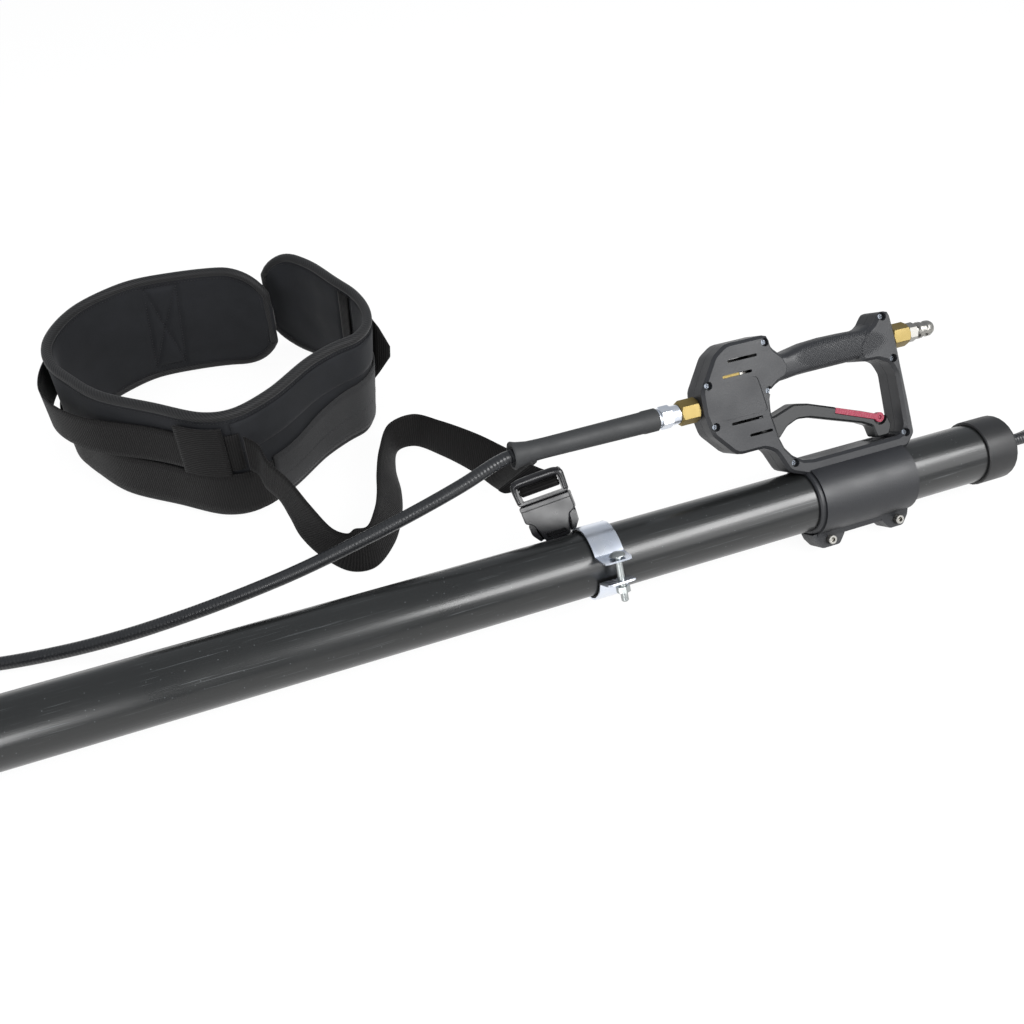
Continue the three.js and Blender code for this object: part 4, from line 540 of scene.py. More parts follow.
off_middle = add_node(gun_shell, "ShaderNodeVectorMath", {0: oval.outputs["Vector"]}, operation="LENGTH")
inside = add_node(gun_shell, "ShaderNodeMapRange", {
    "Value": off_middle.outputs["Value"], "From Min": 0.85, "From Max": 1.05, "To Min": 1.0, "To Max": 0.0,
})
gripping = add_node(gun_shell, "ShaderNodeMath", {
    0: inside.outputs["Result"], 1: dot_height.outputs["Result"],
}, operation="MULTIPLY")
shell_height = add_node(gun_shell, "ShaderNodeMath", {
    0: gripping.outputs["Value"], 1: 4.5, 2: skin_height.outputs["Value"],
}, operation="MULTIPLY_ADD")
add_node(gun_shell, "ShaderNodeBump", {
    "Height": shell_height.outputs["Value"], "Distance": 0.00012, "Strength": 0.7,
}, {"Normal": surface["Normal"]})
drifting_shine(gun_shell, surface, place, 35, 0.42, 0.54)
finished(gun_shell, ("front_shell", "back_shell"), crease=40, softened=0.9)

# the trigger is the same resin in a smoother mould
trigger_resin = moulded_skin(
    "smooth moulded polyamide", "131415", (0.4, 0.34, 0.46), 0.002, 0.00004, 0.6, 60,
)
finished(trigger_resin, ("trigger",), crease=40, softened=0.6)

# Acetal, dyed red all through: the safety catch
red_acetal, surface, place = start_material("red moulded acetal", "a02440", {"Roughness": 0.4})
drifting_colour(red_acetal, surface, place, 220, "6c182b", "801f37", 3.0)
# finger ridges across the blade, 1.6 mm apart
ridges = add_node(red_acetal, "ShaderNodeTexWave", {
    "Vector": place["Object"], "Scale": bands_apart(0.0016),
}, bands_direction="X")
add_node(red_acetal, "ShaderNodeBump", {
    "Height": ridges.outputs["Fac"], "Distance": 0.00025, "Strength": 0.6,
}, {"Normal": surface["Normal"]})
finished(red_acetal, ("safety_catch", "catch_pin"), softened=0.3)


# ---------------------------------------------------------------- metal fittings
# Turned brass hexagons on both sides of the gun, the plated hose end, and the stainless quick plug. The
# lathe leaves fine rings round the x axis, and handling has dulled the brass unevenly.


def lathe_rings(material, surface, place, pitch, distortion):
    """The fine rings that turning leaves round the x axis."""
    turning = add_node(material, "ShaderNodeTexWave", {
        "Vector": place["Object"], "Scale": bands_apart(pitch), "Distortion": distortion, "Detail": 2.0,
    }, bands_direction="X")
    add_node(material, "ShaderNodeBump", {
        "Height": turning.outputs["Fac"], "Distance": 0.00001, "Strength": 0.3,
    }, {"Normal": surface["Normal"]})


brass, surface, place = start_material("turned brass", "9c8748", {"Roughness": 0.48, "Metallic": 1.0})
lathe_rings(brass, surface, place, 0.0006, 1.0)
drifting_colour(brass, surface, place, 70, "857343", "9d8c5e")
drifting_shine(brass, surface, place, 60, 0.42, 0.54, 1.0)
finished(brass, ("outlet_adapter", "inlet_adapter"), softened=0.25)
finish_nodes(brass, "valve_body", "tip_fitting")

stainless, surface, place = start_material("turned stainless steel", "9d9b96", {
    "Roughness": 0.27, "Metallic": 1.0,
})
lathe_rings(stainless, surface, place, 0.0007, 1.2)
drifting_shine(stainless, surface, place, 80, 0.22, 0.32, 1.0)
finished(stainless, ("quick_plug",))
finish_nodes(stainless, "inlet_tube", "trigger_pin", "base_lock_pin", "middle_lock_pin", "spray_nozzle",
             "valve_ball", "valve_pin", "lug_nut_1", "lug_nut_2")

# the valve's spring is wound from stainless wire, and the ball shortens it as the trigger is squeezed
SPRING_RADIUS = 0.0045
spring_low, spring_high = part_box("valve_spring")
spring_middle = (spring_low + spring_high) / 2
wound = []
for i in range(5 * 16 + 1):
    angle = 2 * math.pi * i / 16
    # the first and last 0.6 of a turn lie flat
    share = min(1.0, max(0.0, (i / 16 - 0.6) / 3.8))
    wound.append(Vector((
        spring_low.x + 0.0006 + (spring_high.x - spring_low.x - 0.0012) * share,
        spring_middle.y + SPRING_RADIUS * math.cos(angle),
        spring_middle.z + SPRING_RADIUS * math.sin(angle),
    )))
spring = round_tube("valve_spring_wound", wound, 0.00045, 6, stainless)
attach(spring, "pole")
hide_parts("valve_spring")
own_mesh(spring)


def driven_screw(name, x, z, profile, recess, floor, steel):
    """A screw driven into the gun's front: its profile from the tip out, then a recess in its head."""
    turns = [2 * math.pi * i / 48 for i in range(48)]
    sections = [(out, [radius] * 48) for out, radius in profile]
    sections += [(profile[-1][0], [recess(a) for a in turns]), (floor, [recess(a) * 0.8 for a in turns])]
    rings, uvs = [], []
    for out, radii in sections:
        rings.append([on_gun(x + r * math.cos(a), z + r * math.sin(a), out) for a, r in zip(turns, radii)])
        uvs.append([(out / 1000, r * a / 1000) for a, r in zip(turns + [2 * math.pi], radii + radii[:1])])
    screw = skin(name + "_driven", rings, uvs, steel, smooth=False)
    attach(screw, "pole")
    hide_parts(name)


def cross(angle, reach=1.75, half_width=0.42):
    """The outline of a cross recess, as a radius in mm at each angle."""
    c, s = max(1e-6, abs(math.cos(angle))), max(1e-6, abs(math.sin(angle)))
    return max(min(reach / c, half_width / s), min(reach / s, half_width / c))


def hexagon(angle, half_width=2.0):
    """The outline of a hexagon socket, as a radius in mm at each angle."""
    return half_width / math.cos((angle + math.pi / 6) % (math.pi / 3) - math.pi / 6)


# eight pan-head screws with cross recesses stand deep in bores and draw the half shells together
dull_zinc, surface, place = start_material("passivated zinc-plated screw steel", "70757c", {
    "Roughness": 0.42, "Metallic": 1.0,
})
drifting_shine(dull_zinc, surface, place, 400, 0.36, 0.5)
SHELL_SCREWS = [
    (-69.5, 144.5), (-73, 104), (-128, 120), (-127.5, 85), (-60, 38), (47, 142.5), (52, 105), (54, 38),
]
for number, (x, z) in enumerate(SHELL_SCREWS, 1):
    driven_screw(f"shell_screw_{number}", x, z, [
        (-9, 0.3), (-8, 1.2), (10.3, 1.2), (10.3, 2.6), (10.9, 2.6), (11.3, 2.4), (11.5, 2.0),
    ], cross, 10.5, dull_zinc)
# two socket-head screws close the saddle's lugs on the tube
for number, x in enumerate((-35.2, 35.2), 1):
    driven_screw(f"lug_screw_{number}", x, -37.5, [
        (-11.5, 1.9), (-10.9, 2.5), (9.3, 2.5), (9.3, 4.1), (13.1, 4.1), (13.7, 3.6),
    ], hexagon, 11.0, stainless)

# the bend sleeve is a dipped rubber tube with a dull, dusty skin
sleeve_rubber = moulded_skin(
    "moulded nitrile rubber", "222324", (0.62, 0.55, 0.7), 0.0013, 0.00008, 0.7, 40, detail=3.0,
)
finished(sleeve_rubber, ("bend_sleeve",))
finish_nodes(sleeve_rubber, "inner_hose")


# ---------------------------------------------------------------- anchor strap
# The webbing goes round the tube under the band clamp, with its ends just inside the clamp's mouth, and
# its tail stands up from the tube and carries the buckle's socket.
ANCHOR_X = -401.5
ANCHOR_WIDTH = 24
ANCHOR_RADIUS = 28.2
ANCHOR_TURN = math.radians(192)


def on_tube(x, angle, radius):
    return from_butt(x, -radius * math.cos(angle), radius * math.sin(angle))


anchor_parts = []
for name, start, end in (("anchor_webbing_below", 198, 368), ("anchor_webbing_above", 419, 546)):
    turns = [math.radians(start + (end - start) * i / 16) for i in range(17)]
    edges = (ANCHOR_X - ANCHOR_WIDTH / 2, ANCHOR_X + ANCHOR_WIDTH / 2)
    lows, highs = [[on_tube(x, a, ANCHOR_RADIUS) for a in turns] for x in edges]
    anchor_parts.append(band(name, lows, highs, 0.0017, webbing))
# the tail leaves sideways behind the tube and twists to lie along the bar of the buckle's socket
tail = [(-411, 0, 0), (-417, 0, 0), (-421.5, 1.5, 0.25)]
buckle_across = Vector((0.87, -0.27, 0.4)).normalized()
buckle_back = buckle_across.cross(Vector((0.16, -0.63, -0.76))).normalized()
buckle_down = buckle_back.cross(buckle_across)
BUCKLE_TOP = (-430.5, 71.8, 44.3)


def on_buckle(across, down, back):
    """A place in the buckle's own frame, in mm: across it, down from its top edge and back from its face."""
    return from_butt(*BUCKLE_TOP) + (buckle_across * across + buckle_down * down + buckle_back * back) / 1000


outward = Vector((0, -math.cos(ANCHOR_TURN), math.sin(ANCHOR_TURN)))
round_tube_way = Vector((0, -outward.z, outward.y))
tail_middles = [(on_tube(x, ANCHOR_TURN, ANCHOR_RADIUS + lift), t) for x, lift, t in tail]
tail_middles.append((on_tube(-423.5, ANCHOR_TURN, ANCHOR_RADIUS + 3).lerp(on_buckle(0, 59.3, 6.8), 0.5), 0.7))
tail_middles += [(on_buckle(0, 59.3, 6.8), 1), (on_buckle(0, 52.3, 5.8), 1)]
tail_pairs = []
for middle, twist in tail_middles:
    side = round_tube_way.lerp(buckle_across, twist).normalized() * ANCHOR_WIDTH * 0.4 / 1000
    tail_pairs.append((*(middle - side), *(middle + side)))
tail_path = smooth_path(tail_pairs, 0.0015)
tail_lows = [Vector(p[:3]) for p in tail_path]
tail_highs = [Vector(p[3:]) for p in tail_path]
anchor_tail = band("anchor_webbing_tail", tail_lows, tail_highs, 0.0016, webbing)
for strap in (*anchor_parts, anchor_tail):
    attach(strap, "pole")
    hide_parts("anchor_strap")


# ---------------------------------------------------------------- side-release buckle
# Injection-moulded acetal plug and socket. Acetal has a smooth, faintly waxy shine, and the socket's
# flat face shows it best.
acetal, surface, place = start_material("black moulded acetal", "151517", {"Roughness": 0.28})
cloud = add_node(acetal, "ShaderNodeTexNoise", {"Vector": place["Object"], "Scale": 600.0, "Detail": 2.0})
add_node(acetal, "ShaderNodeBump", {
    "Height": cloud.outputs["Fac"], "Distance": 0.00002, "Strength": 0.4,
}, {"Normal": surface["Normal"]})
drifting_shine(acetal, surface, place, 60, 0.27, 0.34, 1.0)
finished(acetal, ("buckle_plug", "buckle_socket"), softened=0.35)

# the plug's frame is a thick round rim, fuller over its top and crowned a little in the middle
RIM_STEP = 0.0012
rim_path = []
for across, down, radius in [
    (-20.6, 19.5, 2.5), (-20.9, 14, 2.6), (-21, 8.5, 2.8), (-20.4, 4.4, 3.3), (-17, 2.7, 3.7),
    (-9, 2.3, 3.9), (0, 2.2, 4.0), (9, 2.3, 3.9), (17, 2.7, 3.7), (20.4, 4.4, 3.3),
    (21, 8.5, 2.8), (20.9, 14, 2.6), (20.6, 19.5, 2.5),
]:
    rim_path.append((*on_buckle(across, down, -2.0), radius / 1000))
rim_points = smooth_path(rim_path, RIM_STEP)
rings, uvs = [], []
turns = [2 * math.pi * k / 20 for k in range(20)]
for i, point in enumerate(rim_points):
    before, after = rim_points[max(i - 1, 0)], rim_points[min(i + 1, len(rim_points) - 1)]
    side = (Vector(after[:3]) - Vector(before[:3])).normalized().cross(buckle_back)
    centre, radius = Vector(point[:3]), point[3]
    rings.append([
        centre + side * math.cos(a) * radius + buckle_back * math.sin(a) * radius for a in turns
    ])
    uvs.append([(i * RIM_STEP, radius * a) for a in turns + [2 * math.pi]])
plug_rim = skin("buckle_plug_rim", rings, uvs, acetal)
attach(plug_rim, "belt_side")

# a thin wall at the socket's back stands behind the two heads that snap into its sides
wall = [
    (-21.6, 34), (-21.2, 41), (-20.6, 49), (-15.5, 55.8), (15.5, 55.8), (20.6, 49), (21.2, 41), (21.6, 34),
]
rings = [[on_buckle(across, down, back) for across, down in wall] for back in (2.7, 3.9)]
uvs = [[(across / 1000, down / 1000) for across, down in wall + wall[:1]]] * 2
socket_wall = skin("buckle_socket_wall", rings, uvs, acetal, smooth=False)
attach(socket_wall, "pole")


# ---------------------------------------------------------------- tether strap
# One length of webbing from the belt's front loop to the buckle. It drops from the belt in a half twist,
# stands on its edge on the table round an S bend, and climbs to the buckle's plug.
tether_low = floor_z + 1
tether_edges = [
    ((-650.6, 196, 15.5), (-650.4, 195, 55.5)), ((-645, 188, 14.5), (-641, 183, 53.5)),
    ((-642, 174, 10), (-637, 165, 49)), ((-634, 164, 2), (-624, 149, 36)),
    ((-629, 154, -12), (-612, 133, 16)), ((-624, 140, -26), (-599, 119, -3)),
    ((-612, 122, -37), (-588, 112, -7)), ((-592, 98, tether_low), (-580, 114, -6)),
    ((-572, 94, tether_low), (-570, 113, -6)), ((-547, 116, tether_low), (-558, 130, -4)),
    ((-530, 149, tether_low), (-550, 152, -6)), ((-522, 178, tether_low), (-543, 178, -6)),
    ((-518, 212, tether_low), (-532, 206, -3)), ((-508, 237, tether_low), (-514, 235, -1)),
    ((-490, 238, tether_low), (-490, 240, -0.5)), ((-470, 215, tether_low), (-467, 221, -1)),
    ((-450, 183, tether_low), (-441, 192, -2)), ((-439, 152, -37), (-425, 164, 0)),
    ((-438, 126, -22), (-418, 130, 13)), ((-444, 104, 4), (-416.5, 100.5, 32)),
]
# the last stretch slips behind the plug's top bar and is folded forward round the bar in its slot
FOLD_BAR = 11.6
FOLD_RADIUS = 2.7
run_in = [
    ((-38, 4, 14.5), (-1.8, -7.5, 13.5)), ((-32.5, 7.5, 8.8), (4.2, -3, 8.3)),
    ((-25.5, 8.5, 6.4), (10.5, 1.6, 6.2)), ((-19.4, 7.9, 3.8), (16.0, 5.8, 3.6)),
]
pairs = [(from_butt(*low), from_butt(*high)) for low, high in tether_edges]
pairs += [(on_buckle(*low), on_buckle(*high)) for low, high in run_in]
for angle in [math.radians(d) for d in range(200, 441, 20)]:
    down, back = FOLD_BAR + FOLD_RADIUS * math.cos(angle), FOLD_RADIUS * math.sin(angle)
    pairs.append((on_buckle(-17.2, down, back), on_buckle(17.2, down, back)))
tether_path = smooth_path([(*low, *high) for low, high in pairs], 0.0017)
tether_lows = [Vector(p[:3]) for p in tether_path]
tether_highs = [Vector(p[3:]) for p in tether_path]
tether = band("tether_webbing", tether_lows, tether_highs, 0.0018, webbing)
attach(tether, "belt_side")
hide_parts("tether_strap")


# ---------------------------------------------------------------- padded waist belt
# A strip of 8 mm foam between two nylon jersey faces, 120 mm high, rounded at both ends and bound all
# round with folded grosgrain tape. It stands on its lower edge, open at the back.
PAD_HEIGHT = 120
PAD_THICKNESS = 8
PAD_CORNER = 46
BELT_PLACE = (-656, 325)
belt_plan = [
    (73, 99), (50, 109), (25, 118), (-15, 124), (-58, 124), (-88, 113), (-114, 96), (-134, 70),
    (-145, 40), (-143, 8), (-128, -23), (-106, -56), (-64, -90), (-24, -120), (2, -124), (38, -108),
    (82, -73), (107, -60), (130, -52), (146, -34), (152, -5), (148, 26), (136, 56), (119, 96),
    (99, 122), (73, 141),
]
belt_points = [from_butt(BELT_PLACE[0] + x, BELT_PLACE[1] + y, floor_z) for x, y in belt_plan]
belt_line = smooth_path(belt_points, 0.002)
belt_length = distances(belt_line)[-1]


def on_belt(share, out, height):
    """A point at a share of the belt's length, this far out from the pad's face and this high, in mm."""
    at = min(1.0, max(0.0, share)) * (len(belt_line) - 1)
    i = min(int(at), len(belt_line) - 2)
    heading = (belt_line[i + 1] - belt_line[i]).normalized()
    outward = Vector((heading.y, -heading.x, 0))
    # the tight bend on the right leans in toward its foot
    out -= 9 * (1 - height / 110) * math.exp(-(((share - 0.79) / 0.055) ** 2))
    return belt_line[i].lerp(belt_line[i + 1], at - i) + outward * out / 1000 + Vector((0, 0, height / 1000))


def outward_on_belt(share):
    return (on_belt(share, 1, 0) - on_belt(share, 0, 0)).normalized()


def pad_edge(share):
    """How far the pad's rounded end takes its lower edge up at this share of its length, in mm."""
    inside = max(0.0, PAD_CORNER - min(share, 1 - share) * belt_length * 1000)
    # the factor holds the straight edge 0.9 mm up, clear of the table
    return PAD_CORNER - math.sqrt(max(0.0, PAD_CORNER ** 2 - inside ** 2)) * 0.98


jersey, surface, place = start_material("nylon jersey on foam", "17181a", {
    "Roughness": 0.78, "Specular IOR Level": 0.2, "Sheen Weight": 0.08, "Sheen Roughness": 0.35,
})
# knitted loops of 0.9 mm, drawn at 1.4 mm so that they show
stitches = add_node(jersey, "ShaderNodeTexVoronoi", {"Vector": place["Object"], "Scale": 1 / 0.0014})
add_node(jersey, "ShaderNodeBump", {
    "Height": stitches.outputs["Distance"], "Distance": 0.00014, "Strength": 0.5,
}, {"Normal": surface["Normal"]})
drifting_colour(jersey, surface, place, 45, "131416", "1c1d20", 4.0)

binding_tape, surface, place = start_material("grosgrain binding tape", "131314", {
    "Roughness": 0.6, "Specular IOR Level": 0.25, "Sheen Weight": 0.05,
})
tape_ribs_and_shade = add_node(binding_tape, "ShaderNodeTexWave", {
    "Vector": place["UV"], "Scale": bands_apart(0.0016), "Distortion": 0.4, "Detail": 1.0,
}, bands_direction="DIAGONAL")
add_node(binding_tape, "ShaderNodeBump", {
    "Height": tape_ribs_and_shade.outputs["Fac"], "Distance": 0.00022, "Strength": 0.8,
}, {"Normal": surface["Normal"]})
# the colour follows the ribs: the grooves between them are painted darker, as painted shade
add_node(binding_tape, "ShaderNodeMix", {
    "Factor": tape_ribs_and_shade.outputs["Fac"], 6: linear("0a0a0b"), 7: linear("1d1d1e"),
}, {2: surface["Base Color"]}, data_type="RGBA")

# corners of the X-box patch as share of the length and height in mm: its sides and diagonals are sewn
X_BOX = [(0.143, 107), (0.106, 107), (0.117, 14), (0.154, 14)]
inner_seams = [(X_BOX[i], X_BOX[(i + 1) % 4]) for i in range(4)]
inner_seams += [(X_BOX[0], X_BOX[2]), (X_BOX[1], X_BOX[3])]
# the tape inside the pad is sewn along both its edges
inner_seams += [((0.843, 8), (0.843, 110)), ((0.866, 8), (0.866, 110))]


def drawn_in(share, height, seams):
    """How far the nearest seam draws the pad in at a place, from 0 to 1."""
    here = Vector((share * belt_length * 1000, height))
    nearest = 99.0
    for (s0, z0), (s1, z1) in seams:
        start = Vector((s0 * belt_length * 1000, z0))
        run = Vector((s1 * belt_length * 1000, z1)) - start
        t = min(1.0, max(0.0, (here - start).dot(run) / run.length_squared))
        nearest = min(nearest, (here - start - run * t).length)
    return math.exp(-((nearest / 2.4) ** 2))


# the pad's two faces, a little fuller between their edges, with the slack that bending leaves inside
rows = 56
stations = 420
rings, uvs = [], []
for i in range(stations + 1):
    share = i / stations
    edge = pad_edge(share) + 1.5
    low, high = edge, PAD_HEIGHT - edge
    ring, row_uv = [], []
    for side in (0, 1):
        for k in range(rows + 1):
            up = k / rows if side == 0 else 1 - k / rows
            height = low + (high - low) * up
            full = 1 - (2 * up - 1) ** 6
            wrinkle = noise.noise(Vector((share * 26, height / 30, 3.0 + side)))
            if side == 0:
                out = -0.5 - 1.4 * (1 - full) + 0.5 * wrinkle * full
            else:
                out = -PAD_THICKNESS + 1.4 * (1 - full) + 1.1 * wrinkle * full + 0.3
                out += 2.0 * drawn_in(share, height, inner_seams)
            ring.append(on_belt(share, out, height))
            row_uv.append((share * belt_length, height / 1000))
    rings.append(ring)
    uvs.append(row_uv + row_uv[:1])
pad = skin("belt_padding", rings, uvs, jersey)
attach(pad, "belt_side")
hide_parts("belt_pad")


def rim_line(inset):
    """Shares and heights along the pad's outline, `inset` mm inside its edge, as one closed loop."""
    margin = inset / 1000 / belt_length
    shares = [margin + (1 - 2 * margin) * i / 200 for i in range(201)]
    shares = shares[:1] + [s for s in shares if 0.004 < s < 0.996] + shares[-1:]
    lower = [(s, pad_edge(s) + inset) for s in shares]
    upper = [(s, PAD_HEIGHT - z) for s, z in reversed(lower)]
    ends = []
    for share, foot in (lower[-1], lower[0]):
        ends.append([(share, foot + (PAD_HEIGHT - 2 * foot) * j / 6) for j in range(1, 6)])
    return lower + ends[0] + upper + ends[1][::-1]


# the folded tape: an oval bead round the whole outline, thicker than the pad it grips
TAPE_GIRTH = 0.029
TAPE_HALF_HEIGHT = 4.0
TAPE_HALF_THICKNESS = 4.8
outline = rim_line(4.2)
middle = [on_belt(s, -PAD_THICKNESS / 2, z) for s, z in outline]
reach = distances(middle + middle[:1])
rings, uvs = [], []
for i, (share, height) in enumerate(outline):
    heading = (middle[(i + 1) % len(middle)] - middle[i - 1]).normalized()
    out = outward_on_belt(share)
    side = heading.cross(out).normalized()
    ring = []
    for k in range(14):
        a = 2 * math.pi * k / 14
        bulge = 1.0 if abs(math.cos(a)) > 0.3 else 0.94
        up, through = TAPE_HALF_HEIGHT * math.cos(a), TAPE_HALF_THICKNESS * bulge * math.sin(a)
        ring.append(middle[i] + (side * up + out * through) / 1000)
    rings.append(ring)
    uvs.append([(reach[i], TAPE_GIRTH * k / 14) for k in range(15)])
uvs.append([(reach[-1], TAPE_GIRTH * k / 14) for k in range(15)])
binding = skin("belt_binding", rings, uvs, binding_tape, closed=True)
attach(binding, "belt_side")

# polyester thread, one stitch every 3.2 mm, drawn slightly thicker than real
STITCH_PITCH = 3.2
THREAD_WIDTH = 0.5
thread, surface, place = start_material("bonded polyester thread", "1d1d1f", {
    "Roughness": 0.55, "Specular IOR Level": 0.3,
})
twist = add_node(thread, "ShaderNodeTexNoise", {"Vector": place["Object"], "Scale": 2500.0})
add_node(thread, "ShaderNodeBump", {
    "Height": twist.outputs["Fac"], "Distance": 0.00005, "Strength": 0.5,
}, {"Normal": surface["Normal"]})


def stitching(name, line, outs):
    """A row of lockstitches along a line, each a small spindle that dips at both ends."""
    reach = distances(line)
    points, faces = [], []
    j = 0
    for i in range(int(reach[-1] / (STITCH_PITCH / 1000))):
        ends = []
        for distance in ((i + 0.12) * STITCH_PITCH / 1000, (i + 0.88) * STITCH_PITCH / 1000):
            while j < len(reach) - 2 and reach[j + 1] < distance:
                j += 1
            part = (distance - reach[j]) / max(1e-9, reach[j + 1] - reach[j])
            ends.append(line[j].lerp(line[j + 1], part))
        heading = (ends[1] - ends[0]).normalized()
        side = heading.cross(outs[j]).normalized() * THREAD_WIDTH / 1000
        lift = outs[j] * THREAD_WIDTH / 1000
        centre = (ends[0] + ends[1]) / 2
        base = len(points)
        points += [ends[0], centre + side, centre + lift * 0.9, centre - side, centre - lift * 0.6, ends[1]]
        for a, b in ((1, 2), (2, 3), (3, 4), (4, 1)):
            faces += [(base, base + b, base + a), (base + 5, base + a, base + b)]
    mesh = bpy.data.meshes.new(name)
    mesh.from_pydata(points, [], faces)
    mesh.polygons.foreach_set("use_smooth", [True] * len(mesh.polygons))
    mesh.materials.append(thread)
    made = bpy.data.objects.new(name, mesh)
    bpy.context.collection.objects.link(made)
    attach(made, "belt_side")


seam = rim_line(9.2)
for name, out, sign in (
    ("binding_stitches_outer", -0.9, 1), ("binding_stitches_inner", -PAD_THICKNESS + 0.9, -1),
):
    line = [on_belt(s, out + 0.5 * sign, z) for s, z in seam + seam[:1]]
    stitching(name, line, [outward_on_belt(s) * sign for s, z in seam + seam[:1]])
# the X-box patch and the tape inside the pad are sewn through it
for number, ((s0, z0), (s1, z1)) in enumerate(inner_seams, 1):
    line = [(s0 + (s1 - s0) * i / 40, z0 + (z1 - z0) * i / 40) for i in range(41)]
    stitching(f"inner_stitches_{number}", [on_belt(s, -PAD_THICKNESS + 2.0, z) for s, z in line],
              [-outward_on_belt(s) for s, z in line])


# ---------------------------------------------------------------- belt webbing
# An upper band that stands off the pad at the left and becomes the tether, a wider lower band sewn to
# the pad, a front loop that holds the upper band, and a hook-and-loop strip on the right.
UPPER_Z = 57
WEB_WIDTH = 40
WEB_THICKNESS = 1.8
LOWER_Z = 8
LOWER_WIDTH = 47
LOOP_AT = 0.534
LOOP_WIDTH = 41
LOOP_BACK = 1.2 + WEB_THICKNESS
LOOP_HEIGHTS = range(54, 108)


def belt_band(name, start, end, out, low, high, material, replaced=None, stand_off=lambda share: 0.0):
    """A strap between two shares of the belt's length, `out` mm off the pad, its edges at low and high."""
    steps = max(6, round((end - start) * belt_length / 0.0045))
    shares = [start + (end - start) * i / steps for i in range(steps + 1)]
    outs = [out + WEB_THICKNESS / 2 + stand_off(s) for s in shares]
    lows = [on_belt(s, far, low(s)) for s, far in zip(shares, outs)]
    highs = [on_belt(s, far, high(s)) for s, far in zip(shares, outs)]
    made = band(name, lows, highs, WEB_THICKNESS / 1000, material)
    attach(made, "belt_side")
    if replaced:
        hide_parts(replaced)


belt_band("belt_webbing_upper", 0.17, 0.572, 0.5, lambda s: UPPER_Z, lambda s: UPPER_Z + WEB_WIDTH, webbing,
          "belt_web_upper", lambda s: 15 * math.exp(-(((s - 0.37) / 0.06) ** 2)))
belt_band("belt_webbing_lower", 0.17, 0.598, 0.5, lambda s: LOWER_Z, lambda s: LOWER_Z + LOWER_WIDTH, webbing,
          "belt_web_lower", lambda s: 4 * math.exp(-(((s - 0.585) / 0.03) ** 2)))

# the loop's ribs lie level, because its webbing runs up the belt, over the upper band
loop_shares = [LOOP_AT + LOOP_WIDTH / 2000 / belt_length * (i / 5 - 1) for i in range(11)]
loop_section = [(s, LOOP_BACK + WEB_THICKNESS) for s in loop_shares]
loop_section += [(s, LOOP_BACK) for s in reversed(loop_shares)]
rings, uvs = [], []
for height in LOOP_HEIGHTS:
    rings.append([on_belt(s, out, height) for s, out in loop_section])
    uvs.append([(height / 1000, s * belt_length) for s, out in loop_section + loop_section[:1]])
loop = skin("belt_front_loop", rings, uvs, webbing)
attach(loop, "belt_side")
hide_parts("belt_loop")

# hook-and-loop tape: a mat of fine nylon loops, greyer than the webbing
loop_pile, surface, place = start_material("nylon loop pile", "202021", {
    "Roughness": 0.85, "Specular IOR Level": 0.2, "Sheen Weight": 0.1,
})
pile = add_node(loop_pile, "ShaderNodeTexNoise", {
    "Vector": place["Object"], "Scale": 1 / 0.0012, "Detail": 5.0, "Roughness": 0.7,
})
# the colour follows the pile's height: its hollows are painted darker and its tops paler, as painted shade
add_node(loop_pile, "ShaderNodeMix", {
    "Factor": pile.outputs["Fac"], 6: linear("111112"), 7: linear("2c2c2d"),
}, {2: surface["Base Color"]}, data_type="RGBA")
add_node(loop_pile, "ShaderNodeBump", {
    "Height": pile.outputs["Fac"], "Distance": 0.0004, "Strength": 0.8,
}, {"Normal": surface["Normal"]})


def strip_height(share):
    """The hook-and-loop strip grows 14 mm taller toward the bend on the right."""
    return LOWER_WIDTH + 14 * step_up(share, 0.62, 0.76)


belt_band("belt_loop_pile_strip", 0.602, 0.9, 0.5, lambda s: LOWER_Z, lambda s: LOWER_Z + strip_height(s),
          loop_pile, "belt_web_lower")
strip_shares = [0.606 + 0.29 * i / 59 for i in range(60)]
for number, up in enumerate((0.08, 0.42, 0.92), 1):
    line = [on_belt(s, 0.5 + WEB_THICKNESS, LOWER_Z + up * strip_height(s)) for s in strip_shares]
    stitching(f"strip_stitches_{number}", line, [outward_on_belt(s) for s in strip_shares])
# a jersey facing is let in behind the loop, and a tape runs up the belt's inner side
belt_band("belt_facing_patch", 0.566, 0.79, -1.2, lambda s: 74, lambda s: 108, jersey, "belt_patch")
belt_band("belt_inner_tape", 0.845, 0.864, -PAD_THICKNESS - 0.6, lambda s: 8, lambda s: 110, webbing)
# the strip's free end stands off the bend on the right, with its corners cut off
tab_low = [on_belt(0.795, 1.6, 34), on_belt(0.793, 8, 44), on_belt(0.79, 14, 56), on_belt(0.788, 18, 64)]
tab_high = [on_belt(0.797, 1.6, 106), on_belt(0.795, 8, 96), on_belt(0.792, 14, 84), on_belt(0.79, 18, 76)]
tab = band("belt_pull_tab", tab_low, tab_high, WEB_THICKNESS / 1000, webbing)
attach(tab, "belt_side")


# ---------------------------------------------------------------- table and light
# White laminate under soft lamps, as in a product studio. Two long softboxes at the right draw the bright
# lines along the tube, and a small one at the left lights the buckle. Two fill lamps that nothing mirrors
# and a pale room lift the shadows.
bpy.ops.mesh.primitive_plane_add(size=14, location=(0, 0, 0))
table = bpy.context.object
table.name = "table"
laminate = bpy.data.materials.new("white melamine laminate")
laminate.use_nodes = True
board = laminate.node_tree.nodes["Principled BSDF"]
board.inputs["Base Color"].default_value = linear("f2f2f2")
board.inputs["Roughness"].default_value = 0.6
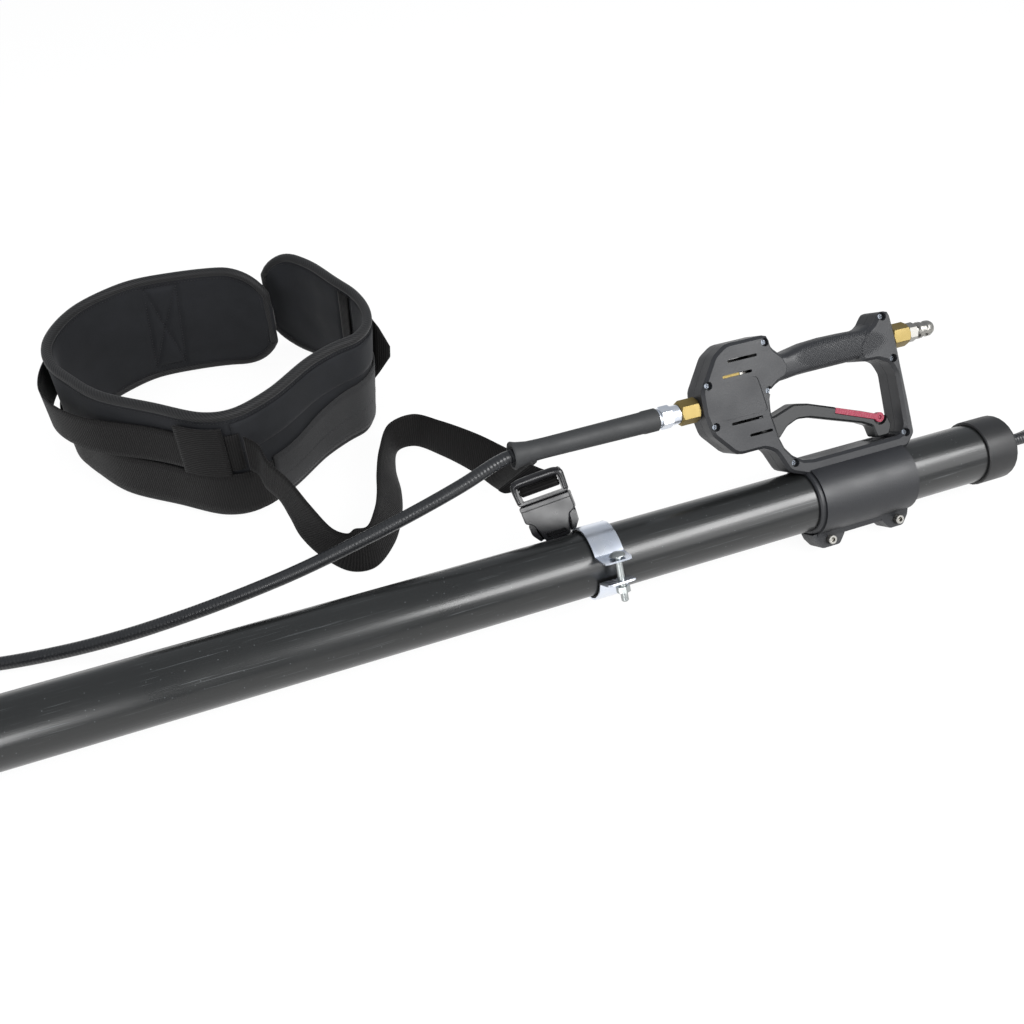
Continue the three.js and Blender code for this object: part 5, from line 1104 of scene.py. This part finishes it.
# the camera and mirroring surfaces see it as an even white, in which shadows are only just visible
rays = add_node(laminate, "ShaderNodeLightPath", {}).outputs
straight = add_node(laminate, "ShaderNodeMath", {
    0: rays["Is Camera Ray"], 1: rays["Is Glossy Ray"],
}, operation="MAXIMUM")
seen = add_node(laminate, "ShaderNodeMath", {
    0: straight.outputs["Value"], 1: rays["Is Transmission Ray"],
}, operation="MAXIMUM")
share = add_node(laminate, "ShaderNodeMath", {0: seen.outputs["Value"], 1: 0.93}, operation="MULTIPLY")
glow = add_node(laminate, "ShaderNodeEmission", {"Color": (1, 1, 1, 1), "Strength": 1.0})
add_node(laminate, "ShaderNodeMixShader", {
    "Fac": share.outputs["Value"], 1: board.outputs["BSDF"], 2: glow.outputs["Emission"],
}, {"Shader": laminate.node_tree.nodes["Material Output"].inputs["Surface"]})
table.data.materials.append(laminate)


def softbox(name, middle, right_end, aim, depth, power, mirrored=True):
    """A rectangular lamp from its middle to its right end, in mm from the butt, turned to face a point."""
    lamp = bpy.data.objects.new(name, bpy.data.lights.new(name, "AREA"))
    centre = from_butt(*middle)
    half = from_butt(*right_end) - centre
    lamp.data.shape = "RECTANGLE"
    lamp.data.size = 2 * half.length
    lamp.data.size_y = depth
    lamp.data.energy = power
    lamp.visible_glossy = mirrored
    away = (centre - from_butt(*aim)).normalized()
    side = (half - away * half.dot(away)).normalized()
    turn = Matrix((side, away.cross(side), away)).transposed().to_4x4()
    lamp.matrix_world = Matrix.Translation(centre) @ turn
    bpy.context.collection.objects.link(lamp)


softbox("softbox_right", (455, -1040, 1410), (1160, -560, 1480), (-250, 0, 0), 0.55, 42)
softbox("softbox_front", (640, -1330, 800), (1250, -930, 820), (-250, 0, 0), 0.85, 8.5)
softbox("softbox_window", (-1340, -1029, 510), (-1150, -1180, 510), (-430, 72, 44), 0.45, 9)
softbox("softbox_overhead", (-500, 500, 1900), (900, 500, 1900), (-450, 80, 0), 1.2, 30, mirrored=False)
softbox("softbox_left", (-1700, -900, 1300), (-1300, -1300, 1300), (-600, 100, 0), 0.8, 16, mirrored=False)

world = bpy.data.worlds.new("studio")
bpy.context.scene.world = world
world.use_nodes = True
sky = world.node_tree.nodes["Background"]
sky.inputs["Color"].default_value = linear("e9edf2")
sky.inputs["Strength"].default_value = 0.55

bpy.context.scene.view_settings.view_transform = "Standard"
